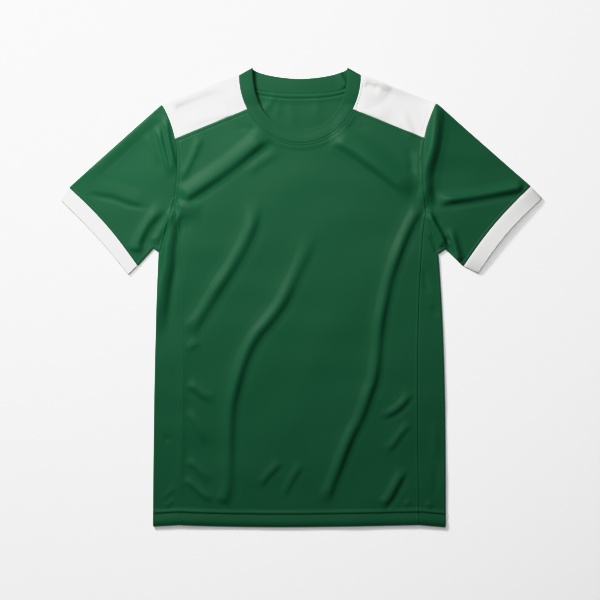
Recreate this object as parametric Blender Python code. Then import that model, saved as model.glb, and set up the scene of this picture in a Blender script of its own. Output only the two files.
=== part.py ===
"""A short-sleeved volleyball jersey, laid flat on its back.

The neck points towards +Y. X = 0 is the centre front, Y = 0 is halfway down the garment, and Z = 0 is the
surface that it lies on. "left" is the -X side, as seen from above.

Each piece of cloth is a middle surface with a wall round it. Its upper sheet lies on the lower one, and a
rolled edge joins the two where the cloth turns over at the side of the garment. Every upper sheet reads its
height from the same function, so that the folds run on across the seams.
"""

import math
from collections import namedtuple

import bmesh
import bpy
from mathutils import Vector
from mathutils.geometry import delaunay_2d_cdt, interpolate_bezier

# Driving sizes, in metres
LENGTH = 0.7245  # top of the collar to the hem
NECK_HALF = 0.0950  # centre front to the collar's seam at the shoulder
NECK_LINE = LENGTH / 2 - 0.0137  # how far up that point lies
COLLAR_HALF = 0.0747  # the same for the collar's free edge
COLLAR_LINE = LENGTH / 2 - 0.0023
HEM_DEPTH = 0.022  # height of the turned-up hem
HEM_STEP = 0.002  # over which the hem's second layer begins

CLOTH = 0.0012  # wall of the jersey cloth
HEM_WALL = 0.0018  # the same cloth, turned up
CUFF_WALL = 0.0016  # doubled band
COLLAR_WALL = 0.0020  # doubled rib
GAP = 0.0003  # between two pieces, and between two layers

TURN = 0.0026  # how far a rolled edge reaches out from the sheets that it joins
TURN_STEPS = 5
TURN_LIFT = 0.0016  # how far a rolled edge holds the upper sheet up
TURN_REACH = 0.022  # and how far in from the edge
SHOULDER_LIFT = 0.0030  # the same for the collar, where it turns over at the shoulder
SHOULDER_REACH = 0.060
MOUTH_REACH = 0.055  # how far up the sleeve its open end holds the upper sheet up
HEM_REACH = 0.045  # how far up the body the hem does so

# How finely the sheets are divided
NECK_STEPS = 30
ARMHOLE_STEPS = 11
YOKE_FRONT_STEP = 4  # the step of the armhole where the yoke's front seam leaves it
YOKE_BACK_STEP = 2
YOKE_NECK_STEP = 5  # and the step of the neckline where it arrives
SEAM_STEP = 0.024  # along the other seams and edges
FOLD_STEP = 0.019  # along a fold
FILL_STEP = 0.040  # between the folds
LEAST_STEP = 0.0080  # between any two points of a sheet
FOLD_ROWS = (0.0, -0.5, 0.5, -1.0, 1.0)  # rows of points along a fold, in parts of its half width
CREST_POINTS = 13

# Where the seams of one side meet the edges of its sheets, as the jersey lies, and how far its lines bow.
# A rolled edge reaches out from there by TURN.
Side = namedtuple(
    "Side",
    "name sign shoulder side_seam_top underarm armpit cuff_top cuff_low mouth_top mouth_low "
    "hem_corner side_seam_foot side_bow mouth_bow mouth_lift",
)
SIDES = (
    Side(
        name="left",
        sign=-1,
        shoulder=(-0.2164, 0.3008),
        side_seam_top=(-0.1977, 0.1530),
        underarm=(-0.2199, 0.0718),
        armpit=(-0.2304, 0.0795),
        cuff_top=(-0.3617, 0.1706),
        cuff_low=(-0.2566, 0.0506),
        mouth_top=(-0.3745, 0.1517),
        mouth_low=(-0.2703, 0.0369),
        hem_corner=(-0.2289, -0.3603),
        side_seam_foot=(-0.1896, -0.3580),
        side_bow=0.0022,
        mouth_bow=0.0030,
        mouth_lift=0.0025,
    ),
    Side(
        name="right",
        sign=1,
        shoulder=(0.2130, 0.3026),
        side_seam_top=(0.1966, 0.1559),
        underarm=(0.2150, 0.0682),
        armpit=(0.2293, 0.0782),
        cuff_top=(0.3612, 0.1725),
        cuff_low=(0.2581, 0.0500),
        mouth_top=(0.3789, 0.1541),
        mouth_low=(0.2804, 0.0390),
        hem_corner=(0.2270, -0.3615),
        side_seam_foot=(0.1874, -0.3580),
        side_bow=0.0045,
        mouth_bow=0.0060,
        mouth_lift=0.0065,
    ),
)
# How far a line bows, and a power that under 1 bows it most near its start
Bow = namedtuple("Bow", "out early")
STRAIGHT = Bow(0.0, 1.0)
ARMHOLE_BOW = Bow(0.0137, 0.85)
SIDE_SEAM_BOW = Bow(0.0080, 0.7)
CUFF_SEAM_BOW = Bow(0.0050, 1.0)
HEM_BOW = Bow(0.0034, 0.8)
SIDE_EDGE_EARLY = 0.8

# The edges of the collar: half an oval each, hung from its two ends at the shoulders. Squareness 2 makes an
# ellipse.
Oval = namedtuple("Oval", "half_width top drop squareness")
NECK_EDGES = {
    "front_seam": Oval(NECK_HALF, NECK_LINE, 0.1059, 2.0),
    "front_free": Oval(COLLAR_HALF, COLLAR_LINE, 0.0959, 2.25),
    "back_seam": Oval(NECK_HALF, NECK_LINE, 0.0289, 2.2),
    "back_free": Oval(COLLAR_HALF, COLLAR_LINE, 0.0164, 1.65),
}

# The largest folds of the upper sheets. A crest runs from start to end, leaving along out and arriving
# along home, which are the two handles of its curve.
Fold = namedtuple("Fold", "name height half_width fade_in fade_out start out home end")
FOLDS = (
    Fold("left_drape", 0.0060, 0.0165, 0.50, 0.10,
         (-0.068, 0.150), (-0.070, 0.085), (-0.125, 0.035), (-0.187, -0.060)),
    Fold("centre_drape", 0.0065, 0.0185, 0.30, 0.06,
         (0.020, 0.116), (-0.016, -0.030), (-0.118, -0.050), (-0.113, -0.240)),
    Fold("centre_hem", 0.0050, 0.0160, 0.10, 0.15,
         (-0.112, -0.215), (-0.112, -0.260), (-0.114, -0.300), (-0.127, -0.334)),
    Fold("right_drape", 0.0070, 0.0190, 0.10, 0.14,
         (0.188, 0.143), (0.112, 0.020), (0.148, -0.100), (0.038, -0.330)),
    Fold("left_chest", 0.0055, 0.0175, 0.15, 0.15,
         (-0.192, 0.161), (-0.150, 0.178), (-0.110, 0.205), (-0.066, 0.247)),
    Fold("left_yoke", 0.0036, 0.0120, 0.25, 0.25,
         (-0.187, 0.181), (-0.174, 0.205), (-0.161, 0.230), (-0.155, 0.256)),
    Fold("right_chest", 0.0034, 0.0160, 0.25, 0.25,
         (0.055, 0.250), (0.095, 0.232), (0.140, 0.205), (0.186, 0.162)),
    Fold("left_side", 0.0040, 0.0130, 0.25, 0.60,
         (-0.206, 0.106), (-0.212, 0.062), (-0.218, 0.020), (-0.218, -0.035)),
    Fold("right_hip", 0.0044, 0.0130, 0.20, 0.40,
         (0.126, -0.331), (0.142, -0.312), (0.158, -0.290), (0.166, -0.262)),
    Fold("left_hip", 0.0030, 0.0120, 0.30, 0.40,
         (-0.178, -0.132), (-0.168, -0.144), (-0.152, -0.158), (-0.131, -0.162)),
    Fold("left_sleeve", 0.0024, 0.0130, 0.20, 0.30,
         (-0.343, 0.168), (-0.310, 0.163), (-0.280, 0.157), (-0.244, 0.151)),
    Fold("left_underarm", 0.0050, 0.0130, 0.15, 0.40,
         (-0.256, 0.060), (-0.256, 0.095), (-0.238, 0.118), (-0.216, 0.140)),
    Fold("right_armhole", 0.0060, 0.0130, 0.15, 0.40,
         (0.211, 0.291), (0.209, 0.250), (0.202, 0.210), (0.198, 0.165)),
    Fold("right_sleeve", 0.0055, 0.0155, 0.30, 0.15,
         (0.206, 0.152), (0.260, 0.155), (0.300, 0.163), (0.343, 0.176)),
    Fold("right_underarm", 0.0045, 0.0125, 0.30, 0.15,
         (0.205, 0.140), (0.232, 0.116), (0.250, 0.094), (0.254, 0.062)),
)

# Each kind of cloth: name, colour and roughness
GREEN = ("jersey_green", (0.030, 0.140, 0.068, 1.0), 0.62)
RIB_GREEN = ("rib_green", (0.028, 0.125, 0.062, 1.0), 0.75)
WHITE = ("jersey_white", (0.86, 0.86, 0.86, 1.0), 0.65)


# Lines in plan

def leftward(way):
    """The unit vector to the left of a way in plan."""
    return Vector((-way.y, way.x)).normalized()


def bowed(start, end, side=1, bow=STRAIGHT, steps=None):
    """Points from start to end, bowed to the left of the way where side is 1 and to the right where it is -1."""
    start, end = Vector(start), Vector(end)
    along = end - start
    out = leftward(along) * side * bow.out
    steps = steps or max(2, round(along.length / SEAM_STEP))
    shares = [i / steps for i in range(steps + 1)]
    return [start + along * share + out * math.sin(math.pi * share**bow.early) for share in shares]


def neck_run(edge, first, last):
    """Points of a neck edge, by steps: 0 is the right shoulder and NECK_STEPS is the left one."""
    oval = NECK_EDGES[edge]
    power = 2 / oval.squareness
    points = []
    for step in range(first, last + 1) if last > first else range(first, last - 1, -1):
        angle = math.pi * step / NECK_STEPS
        across = math.copysign(abs(math.cos(angle)) ** power, math.cos(angle))
        down = abs(math.sin(angle)) ** power
        points.append(Vector((oval.half_width * across, oval.top - oval.drop * down)))
    return points


def with_hem_steps(line):
    """The same line, whose last point is on the hem, with points where the hem's second layer begins."""
    foot = line[-1]
    tops = [p for p in line[:-1] if (p - foot).length > HEM_DEPTH + HEM_STEP + LEAST_STEP]
    way = (tops[-1] - foot).normalized()
    return tops + [foot + way * (HEM_DEPTH + HEM_STEP), foot + way * HEM_DEPTH, foot]


def side_lines(side):
    """The seams, open edges and turned edges of one side. Pieces that meet share a line's points."""
    s = side.sign
    at_shoulder = 0 if s > 0 else NECK_STEPS
    at_yoke_end = at_shoulder + s * YOKE_NECK_STEP
    neck_point = (s * NECK_HALF, NECK_LINE)
    armhole = bowed(side.shoulder, side.side_seam_top, -s, ARMHOLE_BOW, ARMHOLE_STEPS)
    side_bow = Bow(side.side_bow, SIDE_EDGE_EARLY)
    lines = {
        "neck_yoke": neck_run("front_seam", at_shoulder, at_yoke_end),
        "neck_yoke_back": neck_run("back_seam", at_shoulder, at_yoke_end),
        "armhole": armhole,
        "armhole_yoke": armhole[: YOKE_FRONT_STEP + 1],
        "armhole_front": armhole[YOKE_FRONT_STEP:],
        "armhole_yoke_back": armhole[: YOKE_BACK_STEP + 1],
        "armhole_back": armhole[YOKE_BACK_STEP:],
        "armhole_side": bowed(side.side_seam_top, side.underarm),
        "cuff_seam": bowed(side.cuff_top, side.cuff_low, -s, CUFF_SEAM_BOW),
        "mouth": bowed(side.mouth_top, side.mouth_low, -s, Bow(side.mouth_bow, 1.0)),
        "side_seam": with_hem_steps(bowed(side.side_seam_top, side.side_seam_foot, -s, SIDE_SEAM_BOW)),
        "hem_side": bowed(side.side_seam_foot, side.hem_corner),
        "collar_turn": bowed((s * COLLAR_HALF, COLLAR_LINE), neck_point),
        "yoke_turn": bowed(neck_point, side.shoulder),
        "sleeve_turn": bowed(side.shoulder, side.cuff_top),
        "cuff_turn": bowed(side.cuff_top, side.mouth_top),
        "cuff_turn_low": bowed(side.mouth_low, side.cuff_low),
        "underarm_turn": bowed(side.cuff_low, side.armpit) + [Vector(side.underarm)],
        "side_turn": with_hem_steps(bowed(side.underarm, side.hem_corner, s, side_bow)),
    }
    lines["yoke_front"] = bowed(lines["armhole_yoke"][-1], lines["neck_yoke"][-1])
    lines["yoke_back"] = bowed(lines["armhole_yoke_back"][-1], lines["neck_yoke_back"][-1])
    return lines


def turn_reaches(chain, sign):
    """For each point of a chain of turned edges, the plan vector by which a roll reaches out, 1 from the edge."""
    aways = [leftward(end - start) * sign for start, end in zip(chain, chain[1:])]
    reaches = [aways[0]]
    for before, after in zip(aways, aways[1:]):
        reaches.append((before + after) / (1 + before.dot(after)))
    return reaches + [aways[-1]]


def key(point):
    """A point's place to a tenth of a micrometre, to look it up by."""
    return round(point.x * 1e7), round(point.y * 1e7)


def joined(lines):
    """One list of points from lines that follow on from each other."""
    points = list(lines[0])
    for line in lines[1:]:
        points += line[1:]
    return points


def nearest(line, point):
    """The distance from a point to a line in plan, and how far along the line that is, from 0 to 1."""
    best, best_at, run = math.inf, 0.0, 0.0
    for start, end in zip(line, line[1:]):
        along = end - start
        share = min(1.0, max(0.0, (point - start).dot(along) / along.length_squared))
        away = (point - start - along * share).length
        if away < best:
            best, best_at = away, run + share * along.length
        run += along.length
    return best, best_at / run


def inside(outline, point):
    """Whether a closed outline goes round a point."""
    within = False
    for a, b in zip(outline, outline[1:] + outline[:1]):
        if (a.y > point.y) != (b.y > point.y) and point.x < a.x + (b.x - a.x) * (point.y - a.y) / (b.y - a.y):
            within = not within
    return within


def edge_reaches():
    """The reach of every point of the turned edges, by its key."""
    reaches = {}
    for side in SIDES:
        for names in (UPPER_CHAIN, LOWER_CHAIN):
            chain = joined([SIDE_LINES[side.name][name] for name in names])
            reaches.update(zip(map(key, chain), turn_reaches(chain, side.sign)))
    return reaches


UPPER_CHAIN = ("collar_turn", "yoke_turn", "sleeve_turn", "cuff_turn")
LOWER_CHAIN = ("cuff_turn_low", "underarm_turn", "side_turn")
SIDE_LINES = {side.name: side_lines(side) for side in SIDES}
HEM = bowed(SIDES[0].side_seam_foot, SIDES[1].side_seam_foot, -1, HEM_BOW)
WHOLE_HEM = joined([SIDE_LINES["left"]["hem_side"][::-1], HEM, SIDE_LINES["right"]["hem_side"]])
REACHES = edge_reaches()


# Heights of the upper sheets

Rise = namedtuple("Rise", "line height hold reach tapers")


def rises():
    """What holds the upper sheets up: how far, how far in it does so fully, and how far at all."""
    found = [Rise(WHOLE_HEM, HEM_WALL - CLOTH, HEM_DEPTH + 2 * HEM_STEP, HEM_REACH, False)]
    for side in SIDES:
        lines = SIDE_LINES[side.name]
        for names in (UPPER_CHAIN, LOWER_CHAIN):
            found.append(Rise(joined([lines[name] for name in names]), TURN_LIFT, 0.0, TURN_REACH, False))
        found.append(Rise(lines["collar_turn"], SHOULDER_LIFT, SHOULDER_REACH / 3, SHOULDER_REACH, False))
        found.append(Rise(lines["mouth"], side.mouth_lift, 0.0, MOUTH_REACH, True))
    return found


RISES = rises()
CRESTS = {
    fold.name: interpolate_bezier(*map(Vector, (fold.start, fold.out, fold.home, fold.end)), CREST_POINTS)
    for fold in FOLDS
}


def ease(share):
    """0 up to 0, 1 from 1 on, and smooth between."""
    share = min(1.0, max(0.0, share))
    return share * share * (3 - 2 * share)


def underside(point):
    """The height of the upper sheets' lower face above a point of the plan."""
    lift = 0.0
    for rise in RISES:
        away, along = nearest(rise.line, point)
        held = rise.height * ease((rise.reach - away) / (rise.reach - rise.hold))
        lift = max(lift, held * math.sin(math.pi * along) if rise.tapers else held)
    for fold in FOLDS:
        away, along = nearest(CRESTS[fold.name], point)
        if away < fold.half_width:
            fade = ease(along / fold.fade_in) * ease((1 - along) / fold.fade_out)
            lift += fold.height * fade * (1 - (away / fold.half_width) ** 2) ** 2
    return CLOTH + GAP + lift


def panel_wall(point):
    """The wall of a body panel: doubled at the hem."""
    away, _ = nearest(WHOLE_HEM, point)
    return HEM_WALL if away < HEM_DEPTH + HEM_STEP / 2 else CLOTH


# Building a piece

Edge = namedtuple("Edge", "points kind")  # kind is seam, turn or open
INSETS = {"seam": GAP / 2, "turn": 0.0, "open": 0.0}
NEARLY_STRAIGHT = 0.02  # radians between two stretches of an outline that count as one line


def ring(sign, *edges):
    """Edges in order round a sheet, anticlockwise, given as they run on the right side."""
    if sign > 0:
        return list(edges)
    return [Edge(edge.points[::-1], edge.kind) for edge in reversed(edges)]


def drawn_in(edges):
    """The outline of a sheet, drawn in at its seams, and for each turned edge its own reaches and place in it."""
    places, insets, turns = [], [], []
    for edge in edges:
        if edge.kind == "turn":
            turns.append((len(places), [REACHES[key(p)] for p in edge.points]))
        places += edge.points[:-1]
        insets += [INSETS[edge.kind]] * (len(edge.points) - 1)
    outline = []
    for i, place in enumerate(places):
        in_before = leftward(place - places[i - 1])
        in_after = leftward(places[(i + 1) % len(places)] - place)
        spread = in_before.x * in_after.y - in_before.y * in_after.x
        if abs(spread) < NEARLY_STRAIGHT:
            shift = (in_before + in_after).normalized() * max(insets[i - 1], insets[i])
        else:
            x = (insets[i - 1] * in_after.y - insets[i] * in_before.y) / spread
            y = (insets[i] * in_before.x - insets[i - 1] * in_after.x) / spread
            shift = Vector((x, y))
        outline.append(place + shift)
    return outline, turns


def hem_rows(outline):
    """Points along the top of the hem, just below and just above where its second layer ends."""
    points = [place + Vector((0, up)) for place in WHOLE_HEM for up in (HEM_DEPTH, HEM_DEPTH + HEM_STEP)]
    closed = outline + outline[:1]
    return [p for p in points if inside(outline, p) and nearest(closed, p)[0] > LEAST_STEP / 2]


def along_crest(fold):
    """Points along a fold's crest, about FOLD_STEP apart, each with the unit vector across it."""
    crest = CRESTS[fold.name]
    length = sum((after - before).length for before, after in zip(crest, crest[1:]))
    steps = max(2, round(length / FOLD_STEP))
    points = []
    for i in range(steps + 1):
        at = i / steps * (CREST_POINTS - 1)
        index = min(int(at), CREST_POINTS - 2)
        start, end = crest[index], crest[index + 1]
        points.append((start.lerp(end, at - index), leftward(end - start)))
    return points


def sheet_points(outline, first):
    """Points spread over an upper sheet: along its folds, inside its turned edges, and thinly between."""
    wanted = []
    for row in FOLD_ROWS:
        for fold in FOLDS:
            wanted += [point + across * row * fold.half_width for point, across in along_crest(fold)]
    for rise in RISES[1:]:
        for start, end in zip(rise.line, rise.line[1:]):
            for away in (TURN_REACH, -TURN_REACH):
                wanted.append(start.lerp(end, 0.5) + leftward(end - start) * away)
    columns, rows = round(SIDES[1].mouth_top[0] / FILL_STEP), round(LENGTH / 2 / FILL_STEP)
    for row in range(-rows, rows + 1):
        for column in range(-columns, columns + 1):
            wanted.append(Vector((column + 0.5 * (row % 2), row)) * FILL_STEP)
    closed, kept = outline + outline[:1], list(first)
    for place in wanted:
        if not inside(outline, place) or nearest(closed, place)[0] < LEAST_STEP:
            continue
        if all((place - other).length > LEAST_STEP for other in kept):
            kept.append(place)
    return kept


INSIDE_ONLY = 1  # the triangulation keeps only what lies inside the outline
SAME_POINT = 1e-7
SHARP = math.radians(50)


class Cloth:
    """One piece of cloth: points of its middle surface, each with the way from there to its outer face."""

    def __init__(self):
        self.middles = []
        self.walls = []
        self.faces = []

    def add(self, middle, half_wall):
        self.middles.append(middle)
        self.walls.append(half_wall)
        return len(self.middles) - 1

    def sheet(self, outline, inner, wall_at, upper):
        """Lays one sheet and gives the numbers of its outline's points."""
        plan = outline + inner
        border = list(range(len(outline)))
        places, _, faces, sources, _, _ = delaunay_2d_cdt(plan, [], [border], INSIDE_ONLY, SAME_POINT)
        numbers = []
        for place in places:
            half = wall_at(place) / 2
            height = (underside(place) if upper else 0.0) + half
            numbers.append(self.add(Vector((place.x, place.y, height)), Vector((0, 0, half if upper else -half))))
        for face in faces:
            around = [numbers[i] for i in face]
            self.faces.append(around if upper else around[::-1])
        made = {source: numbers[i] for i, found in enumerate(sources) for source in found}
        return [made[i] for i in border]

    def roll(self, tops, lows, reaches):
        """Rolls the edge of the upper sheet over to that of the lower one."""
        rows = [tops]
        for step in range(1, TURN_STEPS):
            angle = math.pi * step / TURN_STEPS
            row = []
            for top, low, reach in zip(tops, lows, reaches):
                high, deep = self.middles[top], self.middles[low]
                half = self.walls[top].z
                out, up = TURN - half, (high.z - deep.z) / 2
                away = Vector((reach.x, reach.y, 0.0))
                middle = high.lerp(deep, step / TURN_STEPS)
                middle.z = (high.z + deep.z) / 2 + up * math.cos(angle)
                facing = Vector((math.sin(angle) / out, math.cos(angle) / up)).normalized() * half
                row.append(
                    self.add(middle + away * out * math.sin(angle), away * facing.x + Vector((0, 0, facing.y)))
                )
            rows.append(row)
        rows.append(lows)
        for upper, lower in zip(rows, rows[1:]):
            for i in range(len(upper) - 1):
                self.faces.append([upper[i + 1], upper[i], lower[i], lower[i + 1]])

    def mesh(self, name):
        """The closed body: both faces of the cloth, and the cut edge between them."""
        count = len(self.middles)
        outer = [m + w for m, w in zip(self.middles, self.walls)]
        inner = [m - w for m, w in zip(self.middles, self.walls)]
        runs = {(a, b) for face in self.faces for a, b in zip(face, face[1:] + face[:1])}
        rims = [(b, a, a + count, b + count) for a, b in sorted(runs) if (b, a) not in runs]
        backs = [[i + count for i in reversed(face)] for face in self.faces]
        mesh = bpy.data.meshes.new(name)
        mesh.from_pydata(outer + inner, [], self.faces + backs + rims)
        body = bmesh.new()
        body.from_mesh(mesh)
        loose = [v for v in body.verts if not v.link_faces]
        bmesh.ops.delete(body, geom=loose, context="VERTS")
        bmesh.ops.triangulate(body, faces=body.faces)
        body.to_mesh(mesh)
        body.free()
        return mesh


def finish(material):
    """The material of a kind of cloth, made the first time that it is asked for."""
    name, colour, roughness = material
    made = bpy.data.materials.get(name)
    if made is None:
        made = bpy.data.materials.new(name)
        made.use_nodes = True
        shader = made.node_tree.nodes["Principled BSDF"]
        shader.inputs["Base Color"].default_value = colour
        shader.inputs["Roughness"].default_value = roughness
        shader.inputs["Metallic"].default_value = 0.0
        made.diffuse_color = colour
    return made


def sew(name, material, wall_at, upper=None, lower=None):
    """Makes one named piece from the edges of its upper sheet, of its lower one, or of both."""
    cloth = Cloth()
    sheets = []
    for edges, is_upper in ((upper, True), (lower, False)):
        if edges is None:
            continue
        outline, turns = drawn_in(edges)
        inner = hem_rows(outline) if wall_at is panel_wall else []
        if is_upper:
            inner = sheet_points(outline, inner)
        numbers = cloth.sheet(outline, inner, wall_at, is_upper)
        sheets.append([([numbers[(at + i) % len(numbers)] for i in range(len(r))], r) for at, r in turns])
    if len(sheets) == 2:
        for (tops, reaches), (lows, _) in zip(*sheets):
            cloth.roll(tops, lows, reaches)
    mesh = cloth.mesh(name)
    mesh.shade_smooth()
    mesh.set_sharp_from_angle(angle=SHARP)
    piece = bpy.data.objects.new(name, mesh)
    piece.data.materials.append(finish(material))
    bpy.context.scene.collection.objects.link(piece)
    return piece


# The pieces of the jersey

def body_panel(name, yoke_seam, armhole, neck_edge, upper):
    """The front or the back, between the side seams, the armholes, the yokes and the neck."""
    left, right = SIDE_LINES["left"], SIDE_LINES["right"]
    edges = [
        Edge(HEM, "open"),
        Edge(right["side_seam"][::-1], "seam"),
        Edge(right[armhole][::-1], "seam"),
        Edge(right[yoke_seam], "seam"),
        Edge(neck_run(neck_edge, YOKE_NECK_STEP, NECK_STEPS - YOKE_NECK_STEP), "seam"),
        Edge(left[yoke_seam][::-1], "seam"),
        Edge(left[armhole], "seam"),
        Edge(left["side_seam"], "seam"),
    ]
    sew(name, GREEN, panel_wall, **{"upper" if upper else "lower": edges})


def side_panel(side):
    """The panel that wraps round the side fold, from the front seam to the back one."""
    lines = SIDE_LINES[side.name]
    edges = ring(
        side.sign,
        Edge(lines["side_seam"], "seam"),
        Edge(lines["hem_side"], "open"),
        Edge(lines["side_turn"][::-1], "turn"),
        Edge(lines["armhole_side"][::-1], "seam"),
    )
    sew("side_" + side.name, GREEN, panel_wall, edges, edges)


def yoke(side):
    """The shoulder piece that wraps over the shoulder, deeper in front than behind."""
    lines = SIDE_LINES[side.name]
    sheets = []
    for neck, seam, armhole in (
        ("neck_yoke", "yoke_front", "armhole_yoke"),
        ("neck_yoke_back", "yoke_back", "armhole_yoke_back"),
    ):
        sheets.append(
            ring(
                side.sign,
                Edge(lines["yoke_turn"][::-1], "turn"),
                Edge(lines[neck], "seam"),
                Edge(lines[seam][::-1], "seam"),
                Edge(lines[armhole][::-1], "seam"),
            )
        )
    sew("yoke_" + side.name, WHITE, lambda place: CLOTH, *sheets)


def sleeve(side):
    """The short sleeve: a flattened tube from the armhole to the cuff's seam."""
    lines = SIDE_LINES[side.name]
    edges = ring(
        side.sign,
        Edge(lines["sleeve_turn"][::-1], "turn"),
        Edge(lines["armhole"], "seam"),
        Edge(lines["armhole_side"], "seam"),
        Edge(lines["underarm_turn"][::-1], "turn"),
        Edge(lines["cuff_seam"][::-1], "seam"),
    )
    sew("sleeve_" + side.name, GREEN, lambda place: CLOTH, edges, edges)


def cuff(side):
    """The band at the sleeve's end, whose mouth stands a little open."""
    lines = SIDE_LINES[side.name]
    edges = ring(
        side.sign,
        Edge(lines["cuff_turn"][::-1], "turn"),
        Edge(lines["cuff_seam"], "seam"),
        Edge(lines["cuff_turn_low"][::-1], "turn"),
        Edge(lines["mouth"][::-1], "open"),
    )
    sew("cuff_" + side.name, WHITE, lambda place: CUFF_WALL, edges, edges)


def collar():
    """The closed rib band round the neck: its front lies on the upper sheets, its back on the lower ones."""
    left, right = SIDE_LINES["left"], SIDE_LINES["right"]
    sheets = []
    for half in ("front", "back"):
        sheets.append([
            Edge(neck_run(half + "_seam", NECK_STEPS, 0), "seam"),
            Edge(right["collar_turn"][::-1], "turn"),
            Edge(neck_run(half + "_free", 0, NECK_STEPS), "open"),
            Edge(left["collar_turn"], "turn"),
        ])
    sew("collar", RIB_GREEN, lambda place: COLLAR_WALL, *sheets)


def main():
    for old in list(bpy.data.objects):
        bpy.data.objects.remove(old, do_unlink=True)
    body_panel("front", "yoke_front", "armhole_front", "front_seam", True)
    body_panel("back", "yoke_back", "armhole_back", "back_seam", False)
    for side in SIDES:
        side_panel(side)
        yoke(side)
        sleeve(side)
        cuff(side)
    collar()


main()
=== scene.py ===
"""A short-sleeved volleyball jersey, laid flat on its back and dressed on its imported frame.

The neck points towards +Y. X = 0 is the centre front, Y = 0 is halfway down the garment, and Z = 0 is the
surface that it lies on. "left" is the -X side, as seen from above. Sizes are in metres.

Each piece of cloth is a thin shell. Its outline runs along the seams, which pieces that meet share point for
point, and every upper sheet reads its height from one function, so that the folds run on across the seams.
"""

import math
from collections import namedtuple
from functools import partial

import bpy
import numpy as np
from bpy.props import FloatProperty, FloatVectorProperty, PointerProperty
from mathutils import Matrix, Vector
from mathutils.geometry import delaunay_2d_cdt


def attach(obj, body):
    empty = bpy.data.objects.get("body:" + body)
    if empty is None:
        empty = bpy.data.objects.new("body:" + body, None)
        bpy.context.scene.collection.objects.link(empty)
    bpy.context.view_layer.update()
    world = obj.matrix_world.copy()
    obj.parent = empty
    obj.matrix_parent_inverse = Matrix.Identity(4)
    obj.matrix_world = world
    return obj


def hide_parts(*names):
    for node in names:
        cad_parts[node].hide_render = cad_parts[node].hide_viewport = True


bl_info = {
    "name": "Volleyball Jersey",
    "version": (1, 0, 0),
    "blender": (4, 5, 0),
    "location": "3D View > Sidebar > Jersey",
    "description": "Cuts, folds and stitches a short-sleeved jersey on its packed frame",
    "category": "Object",
}

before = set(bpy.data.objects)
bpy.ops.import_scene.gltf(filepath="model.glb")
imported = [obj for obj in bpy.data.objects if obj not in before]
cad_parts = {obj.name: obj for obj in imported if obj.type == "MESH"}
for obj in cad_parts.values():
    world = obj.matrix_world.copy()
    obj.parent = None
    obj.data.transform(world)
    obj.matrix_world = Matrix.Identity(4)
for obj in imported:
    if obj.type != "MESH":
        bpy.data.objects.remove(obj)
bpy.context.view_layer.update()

MM = 0.001

# Plan of the jersey

LENGTH = 0.7245  # top of the collar to the hem
NECK_HALF = 0.0950  # centre front to the collar's seam at the shoulder
NECK_LINE = LENGTH / 2 - 0.0137  # how far up that point lies
COLLAR_HALF = 0.0747  # the same for the collar's free edge
COLLAR_LINE = LENGTH / 2 - 0.0023
HEM_DEPTH = 0.022  # height of the turned-up hem
HEM_STEP = 0.002

CLOTH = 0.0012  # wall of the jersey cloth
HEM_WALL = 0.0018  # the same cloth, turned up
CUFF_WALL = 0.0016  # doubled band
COLLAR_WALL = 0.0020  # doubled rib
GAP = 0.0003  # between two layers
AIR = 0.0026  # by how much more than that the upper sheets clear the lower ones

TURN = 0.0026  # how far a rolled edge reaches out from the sheets that it joins
TURN_STEPS = 12
TURN_LIFT = 0.0028  # how far a rolled edge holds the upper sheet up
TURN_REACH = 0.022  # and how far in from the edge
CALM_REACH = 0.020  # how far in from it the lower sheet grows from flat to its own folds
SHOULDER_LIFT = 0.0072  # how far the collar holds it up, where it turns over at the shoulder
SHOULDER_HOLD, SHOULDER_REACH = 0.025, 0.075
NECK_LIFT = 0.0042  # and along the collar's seam
NECK_REACH = 0.032
MOUTH_REACH = 0.034  # how far up the sleeve the upper sheet tilts up to its open end
MOUTH_POWER = 1.4
MOUTH_ARCH = 0.5  # a power that under 1 makes the arch of the open end full
HEM_REACH = 0.045  # how far up the body the hem holds the upper sheet up
HEM_LINE = 0.0184  # from the hem's edge to its row of stitching
HEM_LINE_DIP = 0.0007
LOW_GROOVE_SHARE = 0.7  # how much of that shows on the lower sheets
HEM_LINE_HALF = 0.0026
HEM_PUFF, HEM_PUFF_AT, HEM_PUFF_HALF = 0.0010, 0.0230, 0.0046  # how the cloth stands up above the stitching
HEM_ROLL, HEM_ROLL_AT, HEM_ROLL_HALF = 0.0013, 0.0075, 0.0090  # and how the hem rolls below it
HEM_FALL, HEM_FALL_REACH = 0.0006, 0.0040  # how far the hem falls to its edge
HEM_WIDTH = 0.38  # how long the hem of the front and of the back is
HEM_TURN_ROWS = 6  # rows of faces up the turned-up cloth
# Rows of points, as far in from the hem's edge as this, that carry its forms
HEM_ROWS = (
    0.0106, 0.0126, 0.0145, 0.0160, 0.0170, 0.0178, 0.0186, 0.0195, 0.0204, 0.0212, 0.0220, 0.0230, 0.0242,
    0.0256, 0.0272,
)

NECK_STEPS = 30
YOKE_FRONT_DROP = 0.0540  # how far down the armhole the yoke's front seam leaves it
YOKE_BACK_DROP = 0.0270
YOKE_NECK_STEP = 5  # the step of the neckline where it arrives

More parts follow.
